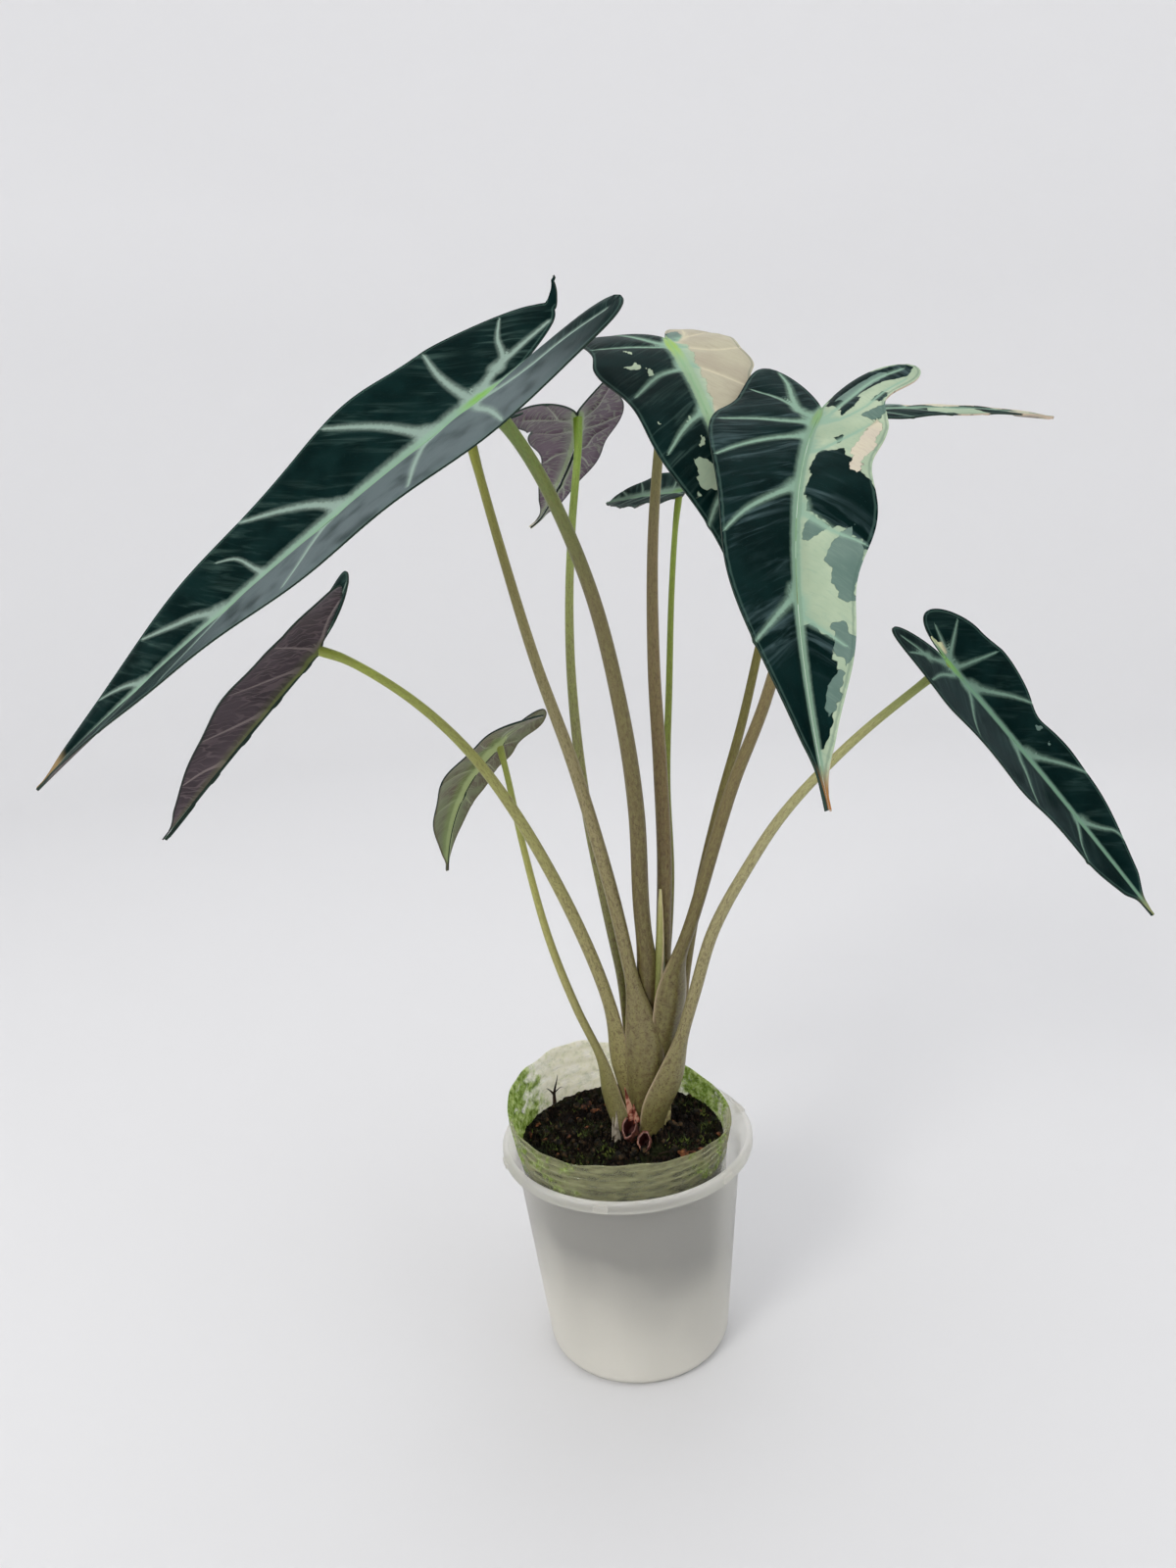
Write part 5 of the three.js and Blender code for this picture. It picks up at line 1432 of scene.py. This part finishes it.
# Loose bits on the soil: crumbs, bark, moss, a dry sprig and threads. Places are from above
litter = {
    "seed": 11, "middle": (-1.7, -1.4), "reach": 34.5, "clear": 8.5,
    "crumbs": 300, "crumbSize": (0.35, 1.25), "chips": 26, "chipSize": (0.8, 1.8),
    "bark": ((19.2, -20.4, 3.6), (22, -18.6, 2.6), (16.2, -21.6, 2.4), (20.5, -23.4, 2.1), (17.8, -18.6, 1.9),
             (23.8, -20.8, 1.9), (-13.6, 20.6, 2.3), (-9, 19, 2), (32.6, -7, 2.2), (-17, 12, 1.7),
             (-6, 22, 1.8), (-11, 15, 2.2), (-5, 16, 2), (-15, 17, 2), (21, -16, 1.8), (25, -17, 1.6)),
    "moss": ((-29.5, 5.5, 7), (-26, -6, 6), (27.5, 9.8, 7), (24, 16, 6), (2, -29, 6), (-12, -24, 8),
             (26, -12, 6), (-18, 22, 7), (-8, -12, 7), (12, 25, 7), (-20, -15, 7), (29, 1, 5), (18, -12, 6),
             (-14, 2, 7), (-24, -22, 4), (-15, -29.5, 4), (-4, -33, 4), (8, -33, 4), (19, -28, 4),
             (-31, -12, 4)),
    "tufts": 55, "sprig": 1.7,
}


def looseSkin(name, colours, rough=0.7, scale=500.0):
    # Crumbs, bark, moss and fibres: a few tones in small grains
    material, add = newMaterial(name)
    grain = add("TexNoise", Vector=add("TexCoord").outputs["Object"], Scale=scale, Detail=3.0)
    base = add("ValToRGB", grain, stops=[(0.35 + 0.1 * k, colour) for k, colour in enumerate(colours)])
    add("OutputMaterial", add("BsdfPrincipled", base, Roughness=rough, Specular_IOR_Level=0.2))
    return material


def scatter(pattern, name, spots, material):
    # copies of one small piece; each spot is a place, a size in three directions and three turns
    copies = []
    for place, size, turns in spots:
        one = pattern.copy()
        one.data = pattern.data.copy()
        scene.collection.objects.link(one)
        about = [Matrix.Rotation(turn, 4, axis) for turn, axis in zip(turns, "XYZ")]
        one.data.transform(Matrix.Translation([v * mm for v in place]) @ about[2] @ about[1] @ about[0]
                           @ Matrix.Diagonal((*size, 1)))
        copies.append(one)
    bpy.data.objects.remove(pattern)
    finishPiece(joinPieces(copies, name), [], [material], 50)


def onSoil(x, y, lift):
    return x, y, soil["level"] + float(soilTop(x, y)) + lift


def freeSpot(draw, lift):
    # a place on the soil away from the stem
    while True:
        x, y = draw.uniform(-1, 1, 2) * litter["reach"]
        if hypot(x, y) < litter["reach"]:
            x, y = x + litter["middle"][0], y + litter["middle"][1]
            if hypot(x - stem["at"][0], y - stem["at"][1]) > litter["clear"]:
                return onSoil(x, y, lift)


def anyTurn(draw, lean):
    return draw.uniform((-lean, -lean, 0), (lean, lean, 6))


draw = np.random.default_rng(litter["seed"])
bpy.ops.mesh.primitive_ico_sphere_add(subdivisions=2, radius=mm)
crumb = bpy.context.object
rough = readPlaces(crumb)
x, y, z = rough[:, :1], rough[:, 1:2], rough[:, 2:]
writePlaces(crumb, rough * (1 + 0.22 * np.sin(x * 5 + 2 * y) * np.cos(z * 4 + 1)))
spots = []
for _ in range(litter["crumbs"]):
    size = draw.uniform(*litter["crumbSize"])
    spots.append((freeSpot(draw, size * 0.5), size * draw.uniform(0.7, 1.3, 3), draw.uniform(0, 6, 3)))
scatter(crumb, "soil_crumbs", spots, looseSkin("peat_crumbs", ("#050504", "#0e0c07", "#241d12", "#4a3822")))

bpy.ops.mesh.primitive_cube_add(size=2 * mm)
chip = bpy.context.object
applyModifier(chip, "SUBSURF", levels=2, render_levels=2)
worn = readPlaces(chip)
worn[:, 2] += 0.3 * np.sin(worn[:, 0] * 3) + 0.2 * np.cos(worn[:, 1] * 4)
writePlaces(chip, worn)
spots = [(onSoil(x, y, 0.35 * size), size * np.array([1, 0.62, 0.3]), anyTurn(draw, 0.5))
         for x, y, size in litter["bark"]]
for _ in range(litter["chips"]):
    size = draw.uniform(*litter["chipSize"])
    spots.append((freeSpot(draw, size * 0.3), size * np.array([1, draw.uniform(0.3, 0.7), 0.3]),
                  anyTurn(draw, 0.6)))
scatter(chip, "bark_chips", spots, looseSkin("weathered_bark", ("#1c0f09", "#3a2013", "#62391f", "#8f5f3a")))

bpy.ops.mesh.primitive_cone_add(vertices=5, radius1=0.28 * mm, radius2=0.02 * mm, depth=mm,
                                location=(0, 0, 0.5 * mm))
sprig = bpy.context.object
settle(sprig)
spots = []
for x, y, spread in litter["moss"]:
    for _ in range(litter["tufts"]):
        at = np.array([x, y]) + draw.normal(0, spread * 0.4, 2)
        if hypot(*(at - litter["middle"])) < litter["reach"] + 0.5:
            tall = litter["sprig"] * draw.uniform(0.5, 1.3)
            spots.append((onSoil(*at, 0.2), np.array([1.2, 1.2, tall]), anyTurn(draw, 0.9)))
scatter(sprig, "moss_sprigs", spots, looseSkin(
    "green_moss", ("#10160a", "#232e10", "#3c471d", "#687434"), 0.6, 200.0))

threadLooks = {
    "dark": looseSkin("dark_plant_fibre", ("#0c0806", "#1c120c", "#33231a")),
    "pale": looseSkin("pale_dry_fibre", ("#6f6558", "#988e7e", "#b8ae9e"), 0.8),
    "red": looseSkin("dry_leaf_scale", ("#55241a", "#8a4a3a", "#b98a74"), 0.6),
}
threads = {  # piece: slot, then material, half width, thickness by width and route of each
    # the dark sprig at the back left, threads beside it and at the front
    "soil_fibres": ("soil", (
        ("dark", 0.75, 1, ((-26.4, 24.3, 78), (-26.2, 24.6, 83), (-25, 25, 87.5), (-24.4, 25.2, 90))),
        ("dark", 0.5, 1, ((-26.2, 24.6, 82), (-28, 24, 84.5), (-29, 23.4, 85.6))),
        ("dark", 0.28, 1, ((-26, 24.7, 83), (-23.6, 24.6, 85), (-22.4, 24, 85.2))),
        ("pale", 0.22, 1, ((-3.2, 17.3, 80), (-1.2, 16, 83), (1.5, 14.5, 83.5))),
        ("dark", 0.25, 1, ((10, -18, 80), (13, -19, 81.4), (16, -18.4, 80.6))),
        ("dark", 0.24, 1, ((24, -14, 80), (27, -11, 82), (29.5, -10, 81))))),
    # torn dry sheath scales at the front left of the stem
    "dry_scales": ("stub", (
        ("red", 1.5, 0.16, ((2.2, -8, 88), (1.6, -8, 91.5), (1, -7.6, 95), (0.2, -6.8, 100))),
        ("red", 1.3, 0.16, ((3.8, -8.4, 87), (3.2, -8.3, 90), (2.8, -8, 94))),
        ("pale", 1.3, 0.16, ((-3.4, -7.8, 79.5), (-3.6, -7.2, 85), (-3.2, -6.4, 91))),
        ("pale", 1.0, 0.2, ((-4.6, -6.6, 79.5), (-4.8, -6, 84), (-4.6, -5.2, 88))))),
}


def buildThread(look, wide, flat, points):
    # a thin round or flat strip along a route, pointed at its end
    path = smoothRoute(points, max(12, int(18 * len(points) / fine)))
    basis = routeFrame(path, np.array([0.35, -1.0, 0.1]))
    piece = bentRod("thread", path, basis, 8, lambda share, middle, angle: (
        wide * flat * (1.1 - share) * np.cos(angle), wide * (1.1 - share) * np.sin(angle)))
    cleanNormals(piece)
    piece.data.materials.append(threadLooks[look])
    return piece


for name, (slot, routes) in threads.items():
    finishPiece(joinPieces([buildThread(*one) for one in routes], name), [], [], 50)
print("loose bits built")

# Clear nursery pot. Its stain: bearing in degrees, 0 to the right and 90 to the back; spread; amount
potStain = {
    "crust": ((100, 70, 1.15),), "algae": ((172, 40, 1.1), (30, 32, 1.1), (236, 24, 0.6), (-38, 24, 0.7)),
    "from": 73, "film": 0.68,
}


def buildPot():
    # up the outside with its ribs, over the rim and down the inside
    heights = [potFoot + 2, *np.linspace(potFoot + 4, potWaist, 12).tolist(),
               *np.linspace(potWaist + 0.6, potRim, 44).tolist()]
    depth, start, apart = pot["ribs"]
    outside = [(float(potRadius(z) + depth * sin(2 * pi * (z - start) / apart)
                      * smoothStep(z, *pot["ribsFrom"])), z) for z in heights]
    (lip, high), floor = outside[-1], potFoot + pot["floor"]
    profile = [(2, potFoot), (pot["radii"][0] - 1.5, potFoot), *outside, (lip - 0.28, high + 0.2),
               *((r - pot["thin"], z) for r, z in outside[::-1]), (pot["radii"][0] - 3, floor), (2, floor)]
    wall = turnedPiece("inner_pot_wall", profile, pot["sides"])
    places = readPlaces(wall)
    bearing = np.arctan2(places[:, 1], places[:, 0])
    ragged = sum(amount * np.sin(often * bearing + start) for amount, often, start in pot["ragged"])
    places[:, 2] += smoothStep(places[:, 2], pot["raggedFrom"], potRim) * ragged
    stained = smoothStep(places[:, 2], potStain["from"], potStain["from"] + 3)
    for kind in ("crust", "algae"):
        amount = sum(peak * bell((np.degrees(bearing) - at + 180) % 360 - 180, spread)
                     for at, spread, peak in potStain[kind])
        writeValues(wall, **{kind: amount * stained})
    writeValues(wall, film=0.15 + 0.85 * stained)
    writePlaces(wall, potLean(places))
    closeEnds(wall)
    return wall


def clearPlastic():
    # Thin clear plastic: a chalky crust at the back, green algae at the sides, a thin dull film all round
    material, add = newMaterial("clear_pet_with_mineral_stain")
    place = add("TexCoord").outputs["Object"]
    crust, algae, film = (add("Attribute " + word) for word in ("crust", "algae", "film"))
    flatter = add("Mapping", Vector=place, Scale=(1.0, 1.0, 4.0))
    lines = add("TexNoise", Vector=flatter, Scale=130.0, Detail=5.0, Roughness=0.6)
    specks = add("TexNoise", Vector=place, Scale=420.0, Detail=4.0, Roughness=0.7)
    clumps = add("TexNoise", Vector=place, Scale=170.0, Detail=6.0, Roughness=0.7)
    chalk = add("Math MULTIPLY", add("MapRange", lines, 0.34, 0.5, 0.62, 0.98), crust)
    film = add("Math MULTIPLY", add("MapRange", lines, 0.4, 0.62, 0.28, potStain["film"]), film)
    # algae grows where its mask is high, ragged at the edge of the mask
    ragged = add("Math MULTIPLY_ADD", add("Math SUBTRACT", clumps, 0.55), 2.4, algae)
    green = add("MapRange", ragged, 0.45, 0.75)
    greenTone = add("ValToRGB", specks, stops=((0.35, "#6f8438"), (0.48, "#a2ba5e"), (0.6, "#dbe6ac")))
    chalkTone = add("ValToRGB", specks, stops=((0.35, "#e2e3d2"), (0.48, "#fbf9ea"), (0.6, "#fffdf4")))
    amount = add("Math MAXIMUM", add("Math MAXIMUM", chalk, add("Math MULTIPLY", green, 0.9)), film)
    stain = add("Mix RGBA", add("MapRange", crust, 0.1, 0.4), "#c4c49e", chalkTone)
    stain = add("Mix RGBA", green, stain, greenTone)
    bump = add("Bump", Strength=0.5, Distance=0.0004, Height=clumps)
    matt = add("BsdfPrincipled", stain, Roughness=0.75, Normal=bump, Specular_IOR_Level=0.2)
    crusty = add("MixShader", 0.68, matt, add("BsdfTranslucent", stain))
    clear = add("BsdfPrincipled", "#f6f8f4", Roughness=0.08, Transmission_Weight=1.0, IOR=1.15,
                Specular_IOR_Level=0.5)
    add("OutputMaterial", add("MixShader", amount, clear, crusty))
    return material


finishPiece(buildPot(), ["inner_pot"], [clearPlastic()], 50)
print("inner pot built")

# Frosted outer cup
cup = {
    "base": 33, "neck": 40.2, "lip": 44.7, "mouth": 42.4,  # radii
    "height": 79.5, "lipHeight": 4, "wall": 0.9, "floor": 1.4, "heel": 4, "groove": (21, 25, 0.4),
    "lugs": 6, "lugFrom": -44, "lugSize": (2.4, 5, 2.4), "sides": 160,
}


def buildCup():
    base, neck, lip, mouth, high, wall, heel = (
        cup[word] for word in ("base", "neck", "lip", "mouth", "height", "wall", "heel"))
    under = high - cup["lipHeight"]
    inner, outer, deep = cup["groove"]

    def bend(t, r):
        return base - heel + r * sin(t * pi / 2), heel - r * cos(t * pi / 2)

    def straight(start, end):
        return [(start[0] + (end[0] - start[0]) * t, start[1] + (end[1] - start[1]) * t)
                for t in np.linspace(0, 1, 30)[1:]]

    profile = [(3, 0), (inner, 0), (inner + 0.6, deep), (outer - 0.6, deep), (outer, 0),
               *(bend(t, heel) for t in np.linspace(0, 1, 9))]
    profile += straight(profile[-1], (neck, under - 1.2))
    profile += [(neck + 0.5, under - 0.5), (lip - 0.9, under), (lip - 0.2, under + 0.3), (lip, under + 0.9),
                (lip, high - 1.1), (lip - 0.3, high - 0.4), (lip - 1, high), (mouth + 0.7, high),
                (mouth + 0.2, high - 0.2), (mouth, high - 0.7), (neck - wall, under - 3)]
    profile += straight(profile[-1], (base - wall, heel + wall))
    profile += [*(bend(t, heel - wall) for t in (0.7, 0.4, 0.1)),
                (base - heel, cup["floor"]), (3, cup["floor"])]
    shell = turnedPiece("outer_cup_shell", profile, cup["sides"])
    closeEnds(shell)
    lugs = []
    for n in range(cup["lugs"]):
        turn = radians(cup["lugFrom"] + 360 / cup["lugs"] * n)
        reach = lip - 0.6
        place = (reach * cos(turn), reach * sin(turn), under + cup["lipHeight"] / 2)
        bpy.ops.mesh.primitive_cube_add(size=1, scale=[v * mm for v in cup["lugSize"]], rotation=(0, 0, turn),
                                        location=[v * mm for v in place])
        lug = bpy.context.object
        settle(lug)
        applyModifier(lug, "BEVEL", width=0.5 * mm, segments=3)
        lugs.append(lug)
    return joinPieces([shell, *lugs], "outer_cup_shell")


def frostedPlastic():
    # Injection-moulded polypropylene, natural colour: cloudy and soft, seen through as a blur
    material, add = newMaterial("frosted_polypropylene")
    place = add("TexCoord").outputs["Object"]
    streak = add("Mapping", Vector=place, Scale=(120.0, 120.0, 12.0))
    flow = add("TexNoise", Vector=streak, Scale=1.0, Detail=3.0)
    bump = add("Bump", Strength=0.08, Distance=0.0005, Height=flow)
    cloudy = add("BsdfPrincipled", "#fffefa", Roughness=0.3, Transmission_Weight=0.82, IOR=1.2,
                 Specular_IOR_Level=0.5, Normal=bump)
    mixed = add("MixShader", 0.26, cloudy, add("BsdfTranslucent", "#fffefa"))
    # painted light: an opaque white shell mixed in towards the floor and towards the left, with an uneven
    # edge, standing in for light that passes through the empty lower part of the cup
    blotch = add("TexNoise", Vector=place, Scale=28.0, Detail=2.0)
    across, _, height = add("SeparateXYZ", place).outputs
    level = add("Math MULTIPLY_ADD", across, 0.25, height)
    level = add("Math MULTIPLY_ADD", blotch, 0.03, level)
    level = add("Math MULTIPLY_ADD", flow, 0.012, level)
    paintedLightWhite = add("BsdfPrincipled", "#f4f1e6", Roughness=0.4, Normal=bump)
    low = add("MapRange", level, 0.072, 0.026, 0.02, 0.55)
    add("OutputMaterial", add("MixShader", low, mixed, paintedLightWhite))
    return material


finishPiece(buildCup(), ["outer_cup"], [frostedPlastic()], 40)
print("outer cup built")
